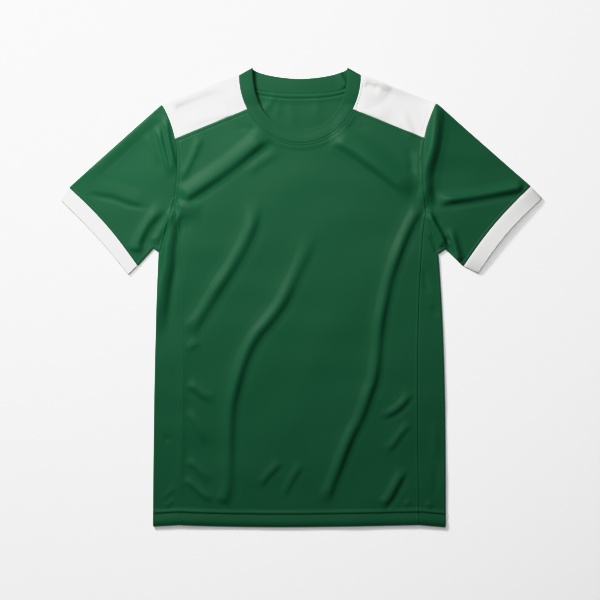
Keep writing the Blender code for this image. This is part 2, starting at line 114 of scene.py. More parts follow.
# Where the seams of one side meet the edges of its sheets, as the jersey lies, how far its lines bow, and how
# far the middle of the sleeve's mouth tilts up
Side = namedtuple(
    "Side",
    "name sign shoulder side_seam_top underarm armpit cuff_top cuff_low mouth_top mouth_low "
    "hem_corner side_seam_foot side_bow mouth_bow mouth_lift",
)
SIDES = (
    Side("left", -1, (-0.2164, 0.3008), (-0.1977, 0.1530), (-0.2199, 0.0718), (-0.2304, 0.0795),
         (-0.3617, 0.1706), (-0.2566, 0.0506), (-0.3745, 0.1517), (-0.2703, 0.0369),
         (-0.2289, -0.3603), (-0.1896, -0.3580), 0.0022, 0.0030, 0.0008),
    Side("right", 1, (0.2130, 0.3026), (0.1984, 0.1345), (0.2150, 0.0682), (0.2293, 0.0782),
         (0.3612, 0.1725), (0.2581, 0.0500), (0.3789, 0.1541), (0.2804, 0.0390),
         (0.2270, -0.3615), (0.1874, -0.3580), 0.0045, 0.0060, 0.0042),
)
# How far a line bows, and a power that under 1 bows it most near its start
Bow = namedtuple("Bow", "out early")
STRAIGHT = Bow(0.0, 1.0)
ARMHOLE_BOW = Bow(0.0137, 0.85)
SIDE_SEAM_BOW = Bow(0.0080, 0.7)
CUFF_SEAM_BOW = Bow(0.0050, 1.0)
HEM_BOW = Bow(0.0034, 0.8)
SIDE_EDGE_EARLY = 0.8

# The edges of the collar: half an oval each, hung from its two ends at the shoulders
Oval = namedtuple("Oval", "half_width top drop squareness")
NECK_EDGES = {
    "front_seam": Oval(NECK_HALF, NECK_LINE, 0.1059, 2.0),
    "front_free": Oval(COLLAR_HALF, COLLAR_LINE, 0.0959, 2.25),
    "back_seam": Oval(NECK_HALF, NECK_LINE, 0.0289, 2.2),
    "back_free": Oval(COLLAR_HALF, COLLAR_LINE, 0.0164, 1.65),
}

# Folds of the upper sheets, in millimetres: how high one stands, how wide its long slope and its steep one
# are, how deep the trough is that follows the steep one, and points along the crest. The steep slope falls away
# from the left shoulder. A fold fades in and out over a share of its length. A height below 0 makes a hollow.
Fold = namedtuple("Fold", "name height long steep trough fade_in fade_out crest")
FOLDS = (
    # the long drapes down the front
    Fold("centre_drape", 3.4, 13, 12, 0.4, 0.15, 0.03,
         ((17, 113), (8, 74), (-13, 27), (-30, -8), (-50, -36), (-68, -57), (-82, -80), (-93, -107),
          (-102, -139), (-109, -170), (-112, -209), (-113, -257), (-115, -296), (-123, -328))),
    Fold("centre_drape_height", 2.2, 12, 11, 0.2, 0.25, 0.35,
         ((-8, 36), (-30, -8), (-50, -36), (-68, -57), (-82, -80), (-93, -107), (-102, -139), (-109, -170),
          (-112, -200))),
    Fold("centre_drape_low", 1.9, 12, 10, 0.2, 0.30, 0.30,
         ((-80, -76), (-93, -107), (-102, -139), (-109, -170), (-112, -209), (-113, -257), (-116, -296))),
    Fold("left_drape", 4.9, 13, 12, 0.5, 0.24, 0.12,
         ((-72, 160), (-75, 122), (-85, 92), (-101, 62), (-116, 37), (-130, 16), (-143, -5), (-157, -27),
          (-170, -48), (-178, -60))),
    Fold("left_drape_end", 1.6, 12, 7, 0.0, 0.40, 0.40, ((-158, -66), (-168, -76), (-180, -87))),
    Fold("right_drape", 5.2, 13, 10, 0.5, 0.05, 0.06,
         ((190, 150), (183, 134), (172, 114), (160, 87), (148, 55), (139, 27), (132, -5), (126, -36),
          (122, -71), (119, -102), (114, -131), (107, -151), (100, -172), (91, -194), (79, -217), (69, -241),
          (60, -265), (51, -288), (42, -312), (36, -328))),
    # across the chest
    Fold("left_chest", 5.6, 23, 11, 0.7, 0.10, 0.18,
         ((-190, 152), (-158, 173), (-126, 195), (-102, 213), (-76, 234), (-58, 248), (-42, 257))),
    Fold("left_chest_small", 1.6, 12, 9, 0.0, 0.30, 0.30, ((-88, 190), (-66, 208), (-45, 222), (-26, 232))),
    Fold("left_yoke", 2.4, 10, 7, 0.0, 0.25, 0.25,
         ((-154, 257), (-162, 236), (-169, 219), (-180, 197), (-187, 180))),
    Fold("left_yoke_edge", 6.6, 8, 14, 0.0, 0.12, 0.40, ((-208, 302), (-176, 315), (-144, 328), (-112, 340))),
    Fold("left_yoke_soft", 2.2, 22, 8, 0.0, 0.40, 0.10, ((-190, 266), (-150, 280), (-108, 291))),
    Fold("right_yoke_edge", 4.2, 8, 12, 0.0, 0.06, 0.60, ((98, 348), (134, 334), (158, 325), (194, 311))),
    Fold("right_yoke_soft", 2.8, 20, 8, 0.0, 0.10, 0.50, ((92, 296), (113, 289), (146, 279))),
    Fold("right_yoke_neck", -2.6, 8, 8, 0.0, 0.30, 0.30, ((100, 336), (112, 329), (126, 325))),
    Fold("right_yoke_low", 1.9, 9, 8, 0.6, 0.40, 0.30, ((156, 292), (170, 268), (178, 244))),
    Fold("left_armhole_end", 4.8, 12, 20, 0.6, 0.15, 0.55, ((-194, 142), (-174, 141), (-150, 138))),
    Fold("right_chest", 8.4, 34, 13, 0.0, 0.16, 0.22,
         ((44, 251), (58, 246), (74, 237), (90, 227), (113, 210), (132, 196), (153, 180), (168, 169),
          (182, 158))),
    Fold("left_collar_hollow", -0.8, 8, 7, 0.0, 0.30, 0.30, ((-102, 266), (-84, 265), (-66, 264))),
    Fold("right_collar_hollow", -0.9, 8, 7, 0.0, 0.30, 0.30, ((52, 266), (80, 266), (110, 264))),
    Fold("right_armhole_hollow", -1.2, 8, 7, 0.0, 0.30, 0.30, ((168, 240), (174, 215), (176, 190))),
    Fold("right_armhole_ridge", 1.5, 7, 7, 0.0, 0.25, 0.30, ((183, 232), (186, 200), (188, 170))),
    # down the left side
    Fold("left_side", 6.2, 7, 16, 0.5, 0.12, 0.28,
         ((-197, 142), (-202, 120), (-205, 98), (-210, 76), (-212, 50), (-217, 19), (-223, -30),
          (-226, -66))),
    Fold("left_side_hollow", -2.6, 9, 10, 0.0, 0.15, 0.30,
         ((-188, 128), (-191, 105), (-194, 78), (-195, 50), (-200, 19), (-207, -30), (-210, -70))),
    Fold("left_seam_ridge", 1.3, 9, 8, 0.0, 0.60, 0.15,
         ((-184, 20), (-184, -100), (-186, -200), (-188, -300), (-189, -330))),
    Fold("left_hip_first", 3.0, 10, 8, 0.4, 0.30, 0.40,
         ((-178, -132), (-162, -145), (-148, -156), (-131, -162))),
    Fold("left_hip_second", 2.5, 10, 8, 0.0, 0.30, 0.40,
         ((-178, -174), (-166, -192), (-154, -214), (-143, -235))),
    Fold("left_hip_third", 2.5, 10, 8, 0.0, 0.30, 0.40,
         ((-180, -252), (-165, -266), (-153, -279), (-140, -293))),
    Fold("left_hip_fourth", 2.6, 9, 7, 0.0, 0.25, 0.30,
         ((-184, -282), (-172, -293), (-158, -305), (-145, -316), (-135, -322))),
    Fold("left_side_low", 1.2, 7, 6, 0.0, 0.30, 0.30, ((-216, -320), (-206, -308), (-195, -296))),
    Fold("left_side_lowest", 1.2, 6, 5, 0.0, 0.30, 0.30, ((-213, -331), (-205, -324), (-197, -318))),
    Fold("left_side_dent", -0.9, 8, 8, 0.0, 0.40, 0.40, ((-216, -222), (-209, -223), (-202, -222))),
    # at the foot of the front
    Fold("centre_low", 1.8, 10, 7, 0.3, 0.30, 0.30, ((-68, -301), (-50, -279), (-27, -255))),
    Fold("centre_lowest", 1.8, 10, 7, 0.3, 0.30, 0.30, ((-30, -320), (-16, -291), (5, -257))),
    Fold("right_hip_first", 2.6, 10, 7, 0.6, 0.30, 0.30,
         ((123, -186), (143, -181), (158, -170), (167, -159), (175, -146))),
    Fold("right_hip_second", 2.3, 9, 7, 0.4, 0.30, 0.30,
         ((131, -244), (145, -232), (156, -217), (165, -206), (175, -194))),
    Fold("right_hip_third", 3.4, 11, 8, 0.8, 0.20, 0.30,
         ((124, -331), (139, -315), (148, -299), (158, -280), (164, -265))),
    Fold("right_hem", 1.2, 7, 6, 0.0, 0.40, 0.40, ((162, -322), (169, -324), (176, -323))),
    Fold("right_side_hem", 1.2, 7, 6, 0.0, 0.40, 0.40, ((197, -321), (203, -327), (209, -331))),
    # down the right side
    Fold("right_side_dent", -1.2, 7, 7, 0.0, 0.40, 0.40, ((192, 46), (197, 24), (202, 3))),
    Fold("right_side_dent_low", -1.0, 7, 7, 0.0, 0.40, 0.40, ((208, -11), (211, -22), (214, -34))),
    Fold("right_side_ridge", 1.3, 8, 8, 0.0, 0.40, 0.40, ((209, -190), (212, -228), (210, -262))),
    Fold("right_side_hollow", -1.2, 8, 8, 0.0, 0.40, 0.40, ((213, -258), (214, -290), (212, -324))),
    # the left sleeve
    Fold("left_sleeve_edge", 2.7, 8, 15, 0.0, 0.12, 0.25,
         ((-220, 294), (-262, 257), (-304, 219), (-352, 177))),
    Fold("left_pleat_first", 2.2, 9, 6, 0.0, 0.40, 0.40, ((-243, 262), (-230, 232), (-220, 204))),
    Fold("left_pleat_second", 4.3, 7, 6, 0.0, 0.30, 0.30,
         ((-224, 276), (-219, 247), (-211, 216), (-202, 186))),
    Fold("left_pleat_third", 4.6, 6, 6, 0.4, 0.25, 0.30,
         ((-212, 288), (-207, 247), (-200, 216), (-197, 190))),
    Fold("left_sleeve", 1.7, 22, 8, 1.1, 0.30, 0.30,
         ((-340, 172), (-315, 168), (-290, 163), (-262, 153), (-232, 150))),
    Fold("left_underarm", 4.3, 14, 9, 0.8, 0.38, 0.10,
         ((-206, 150), (-216, 141), (-229, 128), (-239, 112), (-248, 96), (-255, 80), (-259, 68))),
    Fold("left_underarm_small", 2.8, 8, 7, 0.6, 0.25, 0.15,
         ((-199, 140), (-207, 124), (-215, 110), (-222, 97), (-230, 84))),
    Fold("left_underarm_hollow", -1.8, 6, 6, 0.0, 0.30, 0.20,
         ((-226, 124), (-236, 110), (-244, 94), (-250, 76))),
    # the right sleeve
    Fold("right_armhole", 9.0, 12, 15, 0.2, 0.04, 0.18,
         ((214, 306), (213, 284), (210, 256), (206, 232), (200, 208), (197, 186), (197, 160), (200, 140))),
    Fold("right_armhole_slope", 4.6, 26, 70, 0.0, 0.15, 0.40,
         ((218, 306), (214, 270), (212, 230), (216, 190))),
    Fold("right_junction_hollow", -1.6, 9, 9, 0.0, 0.35, 0.40, ((209, 176), (213, 152), (214, 130))),
    Fold("right_sleeve", 6.4, 9, 9, 1.5, 0.20, 0.08,
         ((212, 151), (226, 153), (252, 156), (283, 161), (315, 167), (336, 171), (352, 174))),
    Fold("right_underarm", 6.4, 9, 6, 1.2, 0.30, 0.06, ((199, 138), (210, 116), (220, 98), (228, 82))),
    Fold("right_underarm_end", 5.4, 7, 9, 0.6, 0.40, 0.08, ((232, 112), (240, 90), (245, 72), (249, 56))),
    Fold("right_underarm_dip", -1.6, 9, 8, 0.0, 0.25, 0.25, ((212, 128), (224, 108), (233, 90))),
    Fold("right_underarm_hollow", -4.4, 6, 6, 0.0, 0.30, 0.10, ((229, 98), (233, 84), (238, 64))),
    Fold("right_seam_dip", -1.8, 5, 5, 0.0, 0.30, 0.20, ((204, 98), (210, 84), (217, 68))),
)
# The folds of the lower sheets, which lift them off the ground
BACK_FOLDS = (
    Fold("inside_neck_left", 1.7, 7, 6, 0.0, 0.25, 0.40, ((-38, 324), (-46, 306), (-58, 290), (-64, 276))),
    Fold("inside_neck_next", 1.0, 7, 6, 0.0, 0.30, 0.40, ((-26, 322), (-34, 300), (-36, 274))),
    Fold("inside_neck_middle", 0.8, 10, 9, 0.0, 0.35, 0.40, ((-16, 324), (-14, 300), (-8, 262))),
    Fold("inside_neck_right", 0.8, 10, 9, 0.0, 0.35, 0.40, ((26, 324), (28, 300), (26, 272))),
    Fold("back_first", 1.7, 15, 12, 0.0, 0.25, 0.20,
         ((64, 150), (22, 62), (-8, -40), (-28, -150), (-32, -262))),
    Fold("back_second", 1.5, 14, 12, 0.0, 0.25, 0.25, ((-84, 118), (-108, 22), (-122, -92), (-118, -206))),
    Fold("back_third", 1.6, 15, 12, 0.0, 0.20, 0.25, ((142, 72), (120, -36), (104, -150), (98, -276))),
    Fold("back_left_blade", 1.1, 13, 10, 0.0, 0.30, 0.30, ((-160, 226), (-112, 206), (-64, 196))),
    Fold("back_right_blade", 1.2, 13, 10, 0.0, 0.30, 0.30, ((164, 232), (120, 204), (82, 184))),
    Fold("back_left_hip", 1.2, 12, 9, 0.0, 0.30, 0.30, ((-168, -176), (-146, -202), (-132, -236))),
    Fold("back_right_hip", 1.3, 12, 9, 0.0, 0.30, 0.30, ((172, -190), (150, -212), (138, -252))),
    Fold("back_left_sleeve", 1.2, 12, 10, 0.0, 0.30, 0.30, ((-232, 196), (-272, 180), (-312, 168))),
    Fold("back_right_sleeve", 1.3, 12, 10, 0.0, 0.30, 0.30, ((230, 206), (270, 186), (310, 180))),
)
# The back of the collar buckles where it turns over at the right shoulder
COLLAR_FOLDS = (Fold("collar_buckle", 3.4, 9, 5, 0.0, 0.10, 0.10, ((58, 366), (64, 350), (74, 330))),)
DOWNHILL = np.array((0.6, -0.8))  # away from the left shoulder: the side on which the folds fall steeply
TROUGH_AT = 1.30  # where the trough lies, in parts of the steep slope's width
TROUGH_HALF = 0.80
TAIL = 0.28  # the share of a fold's height that spreads out wider
TAIL_HALF = 1.9
SPREAD = 0.5  # by how much a fold widens where it fades
UNEVEN = 0.14  # by how much a fold swells and sinks along its crest
UNEVEN_LENGTH = 0.110

WAVE_BEND = 1.3  # by how much each wave bends the next one
WAVE_BEND_LENGTH = 2.3  # over what length, in parts of its own

# Broad soft waves in the cloth: height, length, heading in degrees and phase
WAVES = (
    (0.00040, 0.173, -62, 0.4),
    (0.00030, 0.097, -38, 2.1),
    (0.00022, 0.071, -81, 4.0),
)
# The same in the lower sheets
BACK_WAVES = (
    (0.00045, 0.160, -118, 1.0),
    (0.00030, 0.090, -140, 3.0),
    (0.00020, 0.060, -96, 0.2),
)
BACK_LIFT, BACK_MOST = 0.0003, 0.0012  # what their waves lie above the ground on the whole, and at most

# How finely the sheets are divided
EDGE_STEP = 0.0022
END_STEPS = (0.0004, 0.0009, 0.0016)  # extra points next to the end of a seam
CLEAR_STEPS = (0.0034,)  # the first point next to a notch, where a rolled edge has no room for more
ROWS_IN = (0.0004, 0.0009, 0.0016, 0.0026, 0.0036, 0.0045, 0.0050, 0.0055, 0.0060, 0.0068, 0.0080)
GRID_STEP = 0.0023
LOW_GRID_STEP = 0.0045
LOW_ROWS_IN = (0.0005, 0.0012, 0.0025, 0.0050)
BACK_ROWS_IN = (
    0.0005, 0.0012, 0.0022, 0.0034, 0.0046, 0.0058, 0.0067, 0.0076, 0.0085, 0.0098, 0.0120, 0.0150,
)
CREST_STEPS = 6
NECK_FINE = 1200  # points that stand for the neckline while it is measured
COARSE_EVERY = 8  # of a line's points, one in so many is enough to tell how far off it is
FIRST_STEP = 0.4  # how near an even point may come to one of the extra ones, in steps
ROW_CLEAR = 0.93  # how near another part of the outline a row may come, in parts of its own distance
GRID_CLEAR = 0.45  # how far the grid keeps from the last row, in steps

# Seams
SEAM_DIP = 0.0006  # how deep the join between two pieces lies
SIDE_DIPS = {-1: 0.00015, 1: 0.0006}  # the same down each side
SEAM_HALF = 0.0012
BAND_RISE = 0.0004  # how far the stitched-down allowance stands proud
STITCH_DIP = 0.0006  # how deep a row of topstitching pulls the cloth
STITCH_HALF = 0.0011
YOKE_STITCH_DIP = 0.0011
STITCH_TRIM = 0.004  # how far from the ends of a seam its stitches stop
HEM_TRIM = 3  # the same for the hem's row, in points of its line

# The tape inside the back of the neck: how high it lies, where its middle and its edge are, how wide they are
TAPE_BAND, TAPE_BAND_EDGE, TAPE_BAND_FALL = 0.0010, 0.010, 0.006
TAPE_RIDGE, TAPE_RIDGE_AT, TAPE_RIDGE_HALF = 0.0010, 0.0034, 0.0030
TAPE_LINE_DIP, TAPE_LINE_AT, TAPE_LINE_HALF = 0.0009, 0.0076, 0.0014

# The width and length of the cloth that each piece is cut from
FRONT_FLAT, BACK_FLAT, SIDE_FLAT = (0.404, 0.718), (0.404, 0.740), (0.094, 0.540)
YOKE_FLAT, SLEEVE_FLAT, CUFF_FLAT = (0.140, 0.130), (0.410, 0.190), (0.320, 0.044)
COLLAR_FLAT = (0.480, 0.046)
CUFF_AREA, COLLAR_AREA = 0.0135, 0.0108
SIDE_ROLL_AREA, YOKE_ROLL_AREA, SLEEVE_ROLL_AREA = 0.004, 0.0005, 0.0015  # the cloth in their rolled edges

SLEEVE_GRAIN = 48  # by how many degrees the cloth of the sleeves and cuffs is turned
CUFF_BAND_EDGE = 0.005  # over what length the cuff grows from one cloth to two
CUFF_BAND_REACH = 0.006
CUFF_TURN_IN = 0.017  # how far the cuff's cloth goes in at its mouth
CUFF_TURN_ROWS = 5


# Lines in plan

def unit(ways):
    """The same ways, each 1 long."""
    return ways / np.linalg.norm(ways, axis=-1, keepdims=True)


def leftward(ways):
    """Unit vectors to the left of ways in plan."""
    return unit(np.stack((-ways[..., 1], ways[..., 0]), axis=-1))


def powered(values, power):
    """Values raised to a power, each with its own sign."""
    return np.sign(values) * np.abs(values) ** power


def runs_along(line):
    """How far along a line each of its points lies."""
    return np.concatenate(([0.0], np.cumsum(np.hypot(*np.diff(line, axis=0).T))))


def points_at(line, runs, wanted):
    """Points of a line as far along it as wanted."""
    return np.stack([np.interp(wanted, runs, line[:, i]) for i in (0, 1)], axis=-1)


def spaced(span, near_start, near_end, step):
    """Distances along a line, about step apart, with the given ones near its two ends."""
    even = np.linspace(0.0, span, max(2, round(span / step)) + 1)
    low, high = near_start[-1] + FIRST_STEP * step, span - near_end[-1] - FIRST_STEP * step
    middle = even[(even > low) & (even < high)]
    return np.concatenate(([0.0], near_start, middle, span - np.array(near_end[::-1]), [span]))


def bowed(start, end, side=1, bow=STRAIGHT, first=0.0, last=1.0, near=(END_STEPS, END_STEPS)):
    """Points from start to end, bowed to the left where side is 1 and to the right where it is -1."""
    start, end = np.array(start), np.array(end)
    along = end - start
    length = np.hypot(*along)
    shares = first + spaced((last - first) * length, *near, EDGE_STEP) / length
    out = leftward(along) * side * bow.out
    return start + along * shares[:, None] + out * np.sin(math.pi * shares**bow.early)[:, None]


def neck_points(edge, steps):
    """Points of a neck edge at given steps: 0 is the right shoulder and NECK_STEPS is the left one."""
    oval = NECK_EDGES[edge]
    angle = math.pi * steps / NECK_STEPS
    across = powered(np.cos(angle), 2 / oval.squareness)
    down = np.abs(np.sin(angle)) ** (2 / oval.squareness)
    return np.stack((oval.half_width * across, oval.top - oval.drop * down), axis=-1)


def neck_run(edge, first, last):
    """Points of a neck edge from one step to another, as evenly spaced as a seam's."""
    fine = neck_points(edge, np.linspace(first, last, NECK_FINE))
    runs = runs_along(fine)
    return points_at(fine, runs, spaced(runs[-1], END_STEPS, END_STEPS, EDGE_STEP))


def joined(*lines):
    """One line from lines that follow on from each other."""
    return np.concatenate([lines[0], *(line[1:] for line in lines[1:])])


def all_round(outline):
    """A line all round an outline."""
    return np.concatenate((outline, outline[:1]))


def side_lines(side):
    """The seams, open edges and turned edges of one side."""
    s = side.sign
    at_shoulder = 0 if s > 0 else NECK_STEPS
    at_yoke_end = at_shoulder + s * YOKE_NECK_STEP
    neck_point = (s * NECK_HALF, NECK_LINE)
    armhole = (side.shoulder, side.side_seam_top, -s, ARMHOLE_BOW)
    drop = math.dist(side.shoulder, side.side_seam_top)
    front_share, back_share = YOKE_FRONT_DROP / drop, YOKE_BACK_DROP / drop
    notch = (CLEAR_STEPS, CLEAR_STEPS)
    lines = {
        "neck_yoke": neck_run("front_seam", at_shoulder, at_yoke_end),
        "neck_yoke_back": neck_run("back_seam", at_shoulder, at_yoke_end),
        "armhole_yoke": bowed(*armhole, 0.0, front_share),
        "armhole_front": bowed(*armhole, front_share, 1.0),
        "armhole_yoke_back": bowed(*armhole, 0.0, back_share),
        "armhole_back": bowed(*armhole, back_share, 1.0),
        "armhole_side": bowed(side.side_seam_top, side.underarm),
        "cuff_seam": bowed(side.cuff_top, side.cuff_low, -s, CUFF_SEAM_BOW),
        "mouth": bowed(side.mouth_top, side.mouth_low, -s, Bow(side.mouth_bow, 1.0)),
        "side_seam": bowed(side.side_seam_top, side.side_seam_foot, -s, SIDE_SEAM_BOW),
        "hem_side": bowed(side.side_seam_foot, side.hem_corner),
        "collar_turn": bowed((s * COLLAR_HALF, COLLAR_LINE), neck_point),
        "yoke_turn": bowed(neck_point, side.shoulder),
        "sleeve_turn": bowed(side.shoulder, side.cuff_top),
        "cuff_turn": bowed(side.cuff_top, side.mouth_top),
        "cuff_turn_low": bowed(side.mouth_low, side.cuff_low),
        "underarm_turn": joined(
            bowed(side.cuff_low, side.armpit, near=(END_STEPS, CLEAR_STEPS)),
            bowed(side.armpit, side.underarm, near=notch),
        ),
        "side_turn": bowed(
            side.underarm, side.hem_corner, s, Bow(side.side_bow, SIDE_EDGE_EARLY),
            near=(CLEAR_STEPS, END_STEPS),
        ),
    }
    lines["armhole"] = joined(lines["armhole_yoke"], lines["armhole_front"])
    lines["armhole_low"] = joined(lines["armhole_yoke_back"], lines["armhole_back"])
    lines["yoke_front"] = bowed(lines["armhole_yoke"][-1], lines["neck_yoke"][-1])
    lines["yoke_back"] = bowed(lines["armhole_yoke_back"][-1], lines["neck_yoke_back"][-1])
    return lines


def turn_reaches(chain, sign):
    """For each point of a chain of turned edges, the way in plan that a roll reaches out, 1 from the edge."""
    aways = leftward(np.diff(chain, axis=0)) * sign
    before, after = aways[:-1], aways[1:]
    middle = (before + after) / (1 + (before * after).sum(axis=1, keepdims=True))
    return np.concatenate((aways[:1], middle, aways[-1:]))


def key(point):
    """A point's place to a micrometre, to look it up by."""
    return round(point[0] * 1e6), round(point[1] * 1e6)


def nearest(line, points, within):
    """Each point's distance to a line, up to within, its share of the way along, and its side: 1 is left."""
    away = np.full(len(points), float(within))
    along, side = np.zeros(len(points)), np.ones(len(points))
    lengths = np.hypot(*np.diff(line, axis=0).T)
    low, high = line.min(axis=0) - within, line.max(axis=0) + within
    x, y = points.T
    kept = np.flatnonzero((x > low[0]) & (x < high[0]) & (y > low[1]) & (y < high[1]))
    kept = kept[np.argsort(x[kept], kind="stable")]
    x, y = x[kept], y[kept]
    run = 0.0
    for start, end, length in zip(line, line[1:], lengths):
        first = np.searchsorted(x, min(start[0], end[0]) - within)
        last = np.searchsorted(x, max(start[0], end[0]) + within)
        low, high = sorted((start[1], end[1]))
        near = first + np.flatnonzero((y[first:last] > low - within) & (y[first:last] < high + within))
        if len(near):
            way = (end - start) / length
            dx, dy = x[near] - start[0], y[near] - start[1]
            share = np.clip(dx * way[0] + dy * way[1], 0.0, length)
            found = np.hypot(dx - share * way[0], dy - share * way[1])
            better = found < away[kept[near]]
            chosen = kept[near[better]]
            away[chosen] = found[better]
            along[chosen] = run + share[better]
            side[chosen] = np.where(way[0] * dy[better] - way[1] * dx[better] >= 0, 1.0, -1.0)
        run += length
    return away, along / run, side


def distance(line, points, within):
    """Each point's distance to a line, up to within."""
    return nearest(line, points, within)[0]


def inside(outline, points):
    """Which points a closed outline goes round."""
    within = np.zeros(len(points), bool)
    order = np.argsort(points[:, 1], kind="stable")
    x, y = points[order].T
    for a, b in zip(outline, np.roll(outline, -1, axis=0)):
        if a[1] != b[1]:
            first, last = np.searchsorted(y, sorted((a[1], b[1])))
            crossed = x[first:last] < a[0] + (b[0] - a[0]) * (y[first:last] - a[1]) / (b[1] - a[1])
            within[order[first:last]] ^= crossed
    return within


UPPER_CHAIN = ("collar_turn", "yoke_turn", "sleeve_turn", "cuff_turn")
LOWER_CHAIN = ("cuff_turn_low", "underarm_turn", "side_turn")
SIDE_LINES = {side.name: side_lines(side) for side in SIDES}
HEM = bowed(SIDES[0].side_seam_foot, SIDES[1].side_seam_foot, -1, HEM_BOW)
WHOLE_HEM = joined(SIDE_LINES["left"]["hem_side"][::-1], HEM, SIDE_LINES["right"]["hem_side"])
CHAINS = [
    (side.sign, joined(*(SIDE_LINES[side.name][name] for name in names)))
    for side in SIDES for names in (UPPER_CHAIN, LOWER_CHAIN)
]
REACHES = {}
for chain_sign, chain in CHAINS:
    REACHES.update(zip(map(key, chain), turn_reaches(chain, chain_sign)))


# Heights

def ease(share):
    """0 up to 0, 1 from 1 on, and smooth between."""
    share = np.clip(share, 0.0, 1.0)
    return share * share * (3 - 2 * share)


def bump(share):
    """1 at 0, 0 from 1 on, and smooth between."""
    return (1 - np.clip(np.abs(share), 0.0, 1.0) ** 2) ** 2


def spline(points):
    """A smooth line through points."""
    points = np.array(points, float)
    ends = np.concatenate((2 * points[:1] - points[1:2], points, 2 * points[-1:] - points[-2:-1]))
    line = []
    for a, b, c, d in zip(ends, ends[1:], ends[2:], ends[3:]):
        bend, twist = 2 * a - 5 * b + 4 * c - d, 3 * b - a - 3 * c + d
        for t in np.arange(CREST_STEPS) / CREST_STEPS:
            line.append(0.5 * (2 * b + (c - a) * t + bend * t**2 + twist * t**3))
    return np.array([*line, points[-1]])


def waves(points, rows):
    """Broad soft waves, each bent a little by the one before it."""
    height, bend = np.zeros(len(points)), np.zeros(len(points))
    for rise, length, heading, phase in rows:
        way = np.array((math.cos(math.radians(heading)), math.sin(math.radians(heading))))
        wave = np.sin(points @ way * 2 * math.pi / length + phase + WAVE_BEND * bend)
        height += rise * wave
        bend = np.sin(points @ leftward(way) * 2 * math.pi / (WAVE_BEND_LENGTH * length) + 2 * phase)
    return height


def coarse(line):
    """The same line with fewer points."""
    return np.concatenate((line[:-1:COARSE_EVERY], line[-1:]))


TURNED = [coarse(chain) for _, chain in CHAINS]
MOUTHS = [(side, coarse(SIDE_LINES[side.name]["mouth"])) for side in SIDES]
COARSE_HEM = coarse(WHOLE_HEM)

# What holds the upper sheets up: how far, how far in from a line it does so fully, and how far at all
Rise = namedtuple("Rise", "line height hold reach")


def rises():
    """Every line that holds the upper sheets up."""
    found = [Rise(COARSE_HEM, HEM_WALL - CLOTH, HEM_DEPTH + 2 * HEM_STEP, HEM_REACH)]
    found += [Rise(line, TURN_LIFT, 0.0, TURN_REACH) for line in TURNED]
    for side in SIDES:
        turn_over = SIDE_LINES[side.name]["collar_turn"]
        found.append(Rise(turn_over, SHOULDER_LIFT, SHOULDER_HOLD, SHOULDER_REACH))
    neck = neck_run("front_seam", 0, NECK_STEPS)
    found.append(Rise(coarse(neck), NECK_LIFT, 0.0, NECK_REACH))
    return found


RISES = rises()


def fold_height(fold, points):
    """How far one fold lifts the cloth at each point."""
    crest = spline(fold.crest) * MM
    long_half, steep_half = fold.long * MM, fold.steep * MM
    reach = max(long_half, steep_half) * TAIL_HALF * (1 + SPREAD)
    away, along, side = nearest(crest, points, reach)
    fade = ease(along / fold.fade_in) * ease((1 - along) / fold.fade_out)
    steep_side = 1.0 if leftward(crest[-1] - crest[0]) @ DOWNHILL > 0 else -1.0
    across = away * side * steep_side
    half = np.where(across > 0, steep_half, long_half) * (1 + SPREAD * (1 - fade))
    shape = fold.height * ((1 - TAIL) * bump(away / half) + TAIL * bump(away / (half * TAIL_HALF)))
    shape -= fold.trough * bump((across / steep_half - TROUGH_AT) / TROUGH_HALF) * (across > 0)
    length = np.hypot(*np.diff(crest, axis=0).T).sum()
    phase = 10 * len(fold.name)  # so that no two neighbours swell alike
    swell = 1 + UNEVEN * np.sin(2 * math.pi * along * length / UNEVEN_LENGTH + phase)
    return shape * MM * fade * swell * (away < reach)


def top_height(points):
    """The height of the upper sheets' outer face, where it is one cloth thick, above points of the plan."""
    sizes = bpy.context.scene.jersey_sizes
    held = np.full(len(points), AIR)
    for rise in RISES:
        away = distance(rise.line, points, rise.reach)
        held = np.maximum(held, rise.height * ease((rise.reach - away) / (rise.reach - rise.hold)))
    folded = sum(fold_height(fold, points) for fold in FOLDS)
    loose = held + sizes.fold_strength * folded + waves(points, WAVES)
    loose = loose + hem_shape(points) + mouth_shape(points)
    return 2 * CLOTH + GAP + np.maximum(loose, -GAP)


def mouth_shape(points):
    """How the sleeves' ends tilt up to their middle."""
    lift = np.zeros(len(points))
    for side, mouth in MOUTHS:
        away, along, _ = nearest(mouth, points, MOUTH_REACH)
        slant = np.clip(1 - away / MOUTH_REACH, 0.0, 1.0) ** MOUTH_POWER
        lift += side.mouth_lift * slant * np.sin(math.pi * along) ** MOUTH_ARCH
    return lift


def hem_shape(points):
    """How the turned-up hem stands above and below its stitching."""
    away = distance(COARSE_HEM, points, HEM_DEPTH * 2)
    puff = HEM_PUFF * bump((away - HEM_PUFF_AT) / HEM_PUFF_HALF)
    rolled = HEM_ROLL * bump((away - HEM_ROLL_AT) / HEM_ROLL_HALF)
    return puff + rolled - HEM_FALL * (1 - ease(away / HEM_FALL_REACH))


def low_height(points):
    """The height of the lower sheets, which lie on the ground and are flat next to the turned edges."""
    calm = np.ones(len(points))
    for line in TURNED:
        calm = np.minimum(calm, ease(distance(line, points, CALM_REACH) / CALM_REACH))
    soft = np.clip(waves(points, BACK_WAVES) + BACK_LIFT, 0.0, BACK_MOST)
    folded = sum(fold_height(fold, points) for fold in BACK_FOLDS)
    return np.maximum(soft + bpy.context.scene.jersey_sizes.fold_strength * folded, 0.0) * calm


# Building a piece

# kind is seam, turn or open. stitch is how far in a row of stitches runs, pull is how deep they pull the
# cloth, and dip is how deep the seam lies.
Edge = namedtuple("Edge", "line kind stitch dip pull", defaults=(0.0, 0.0, 0.0))


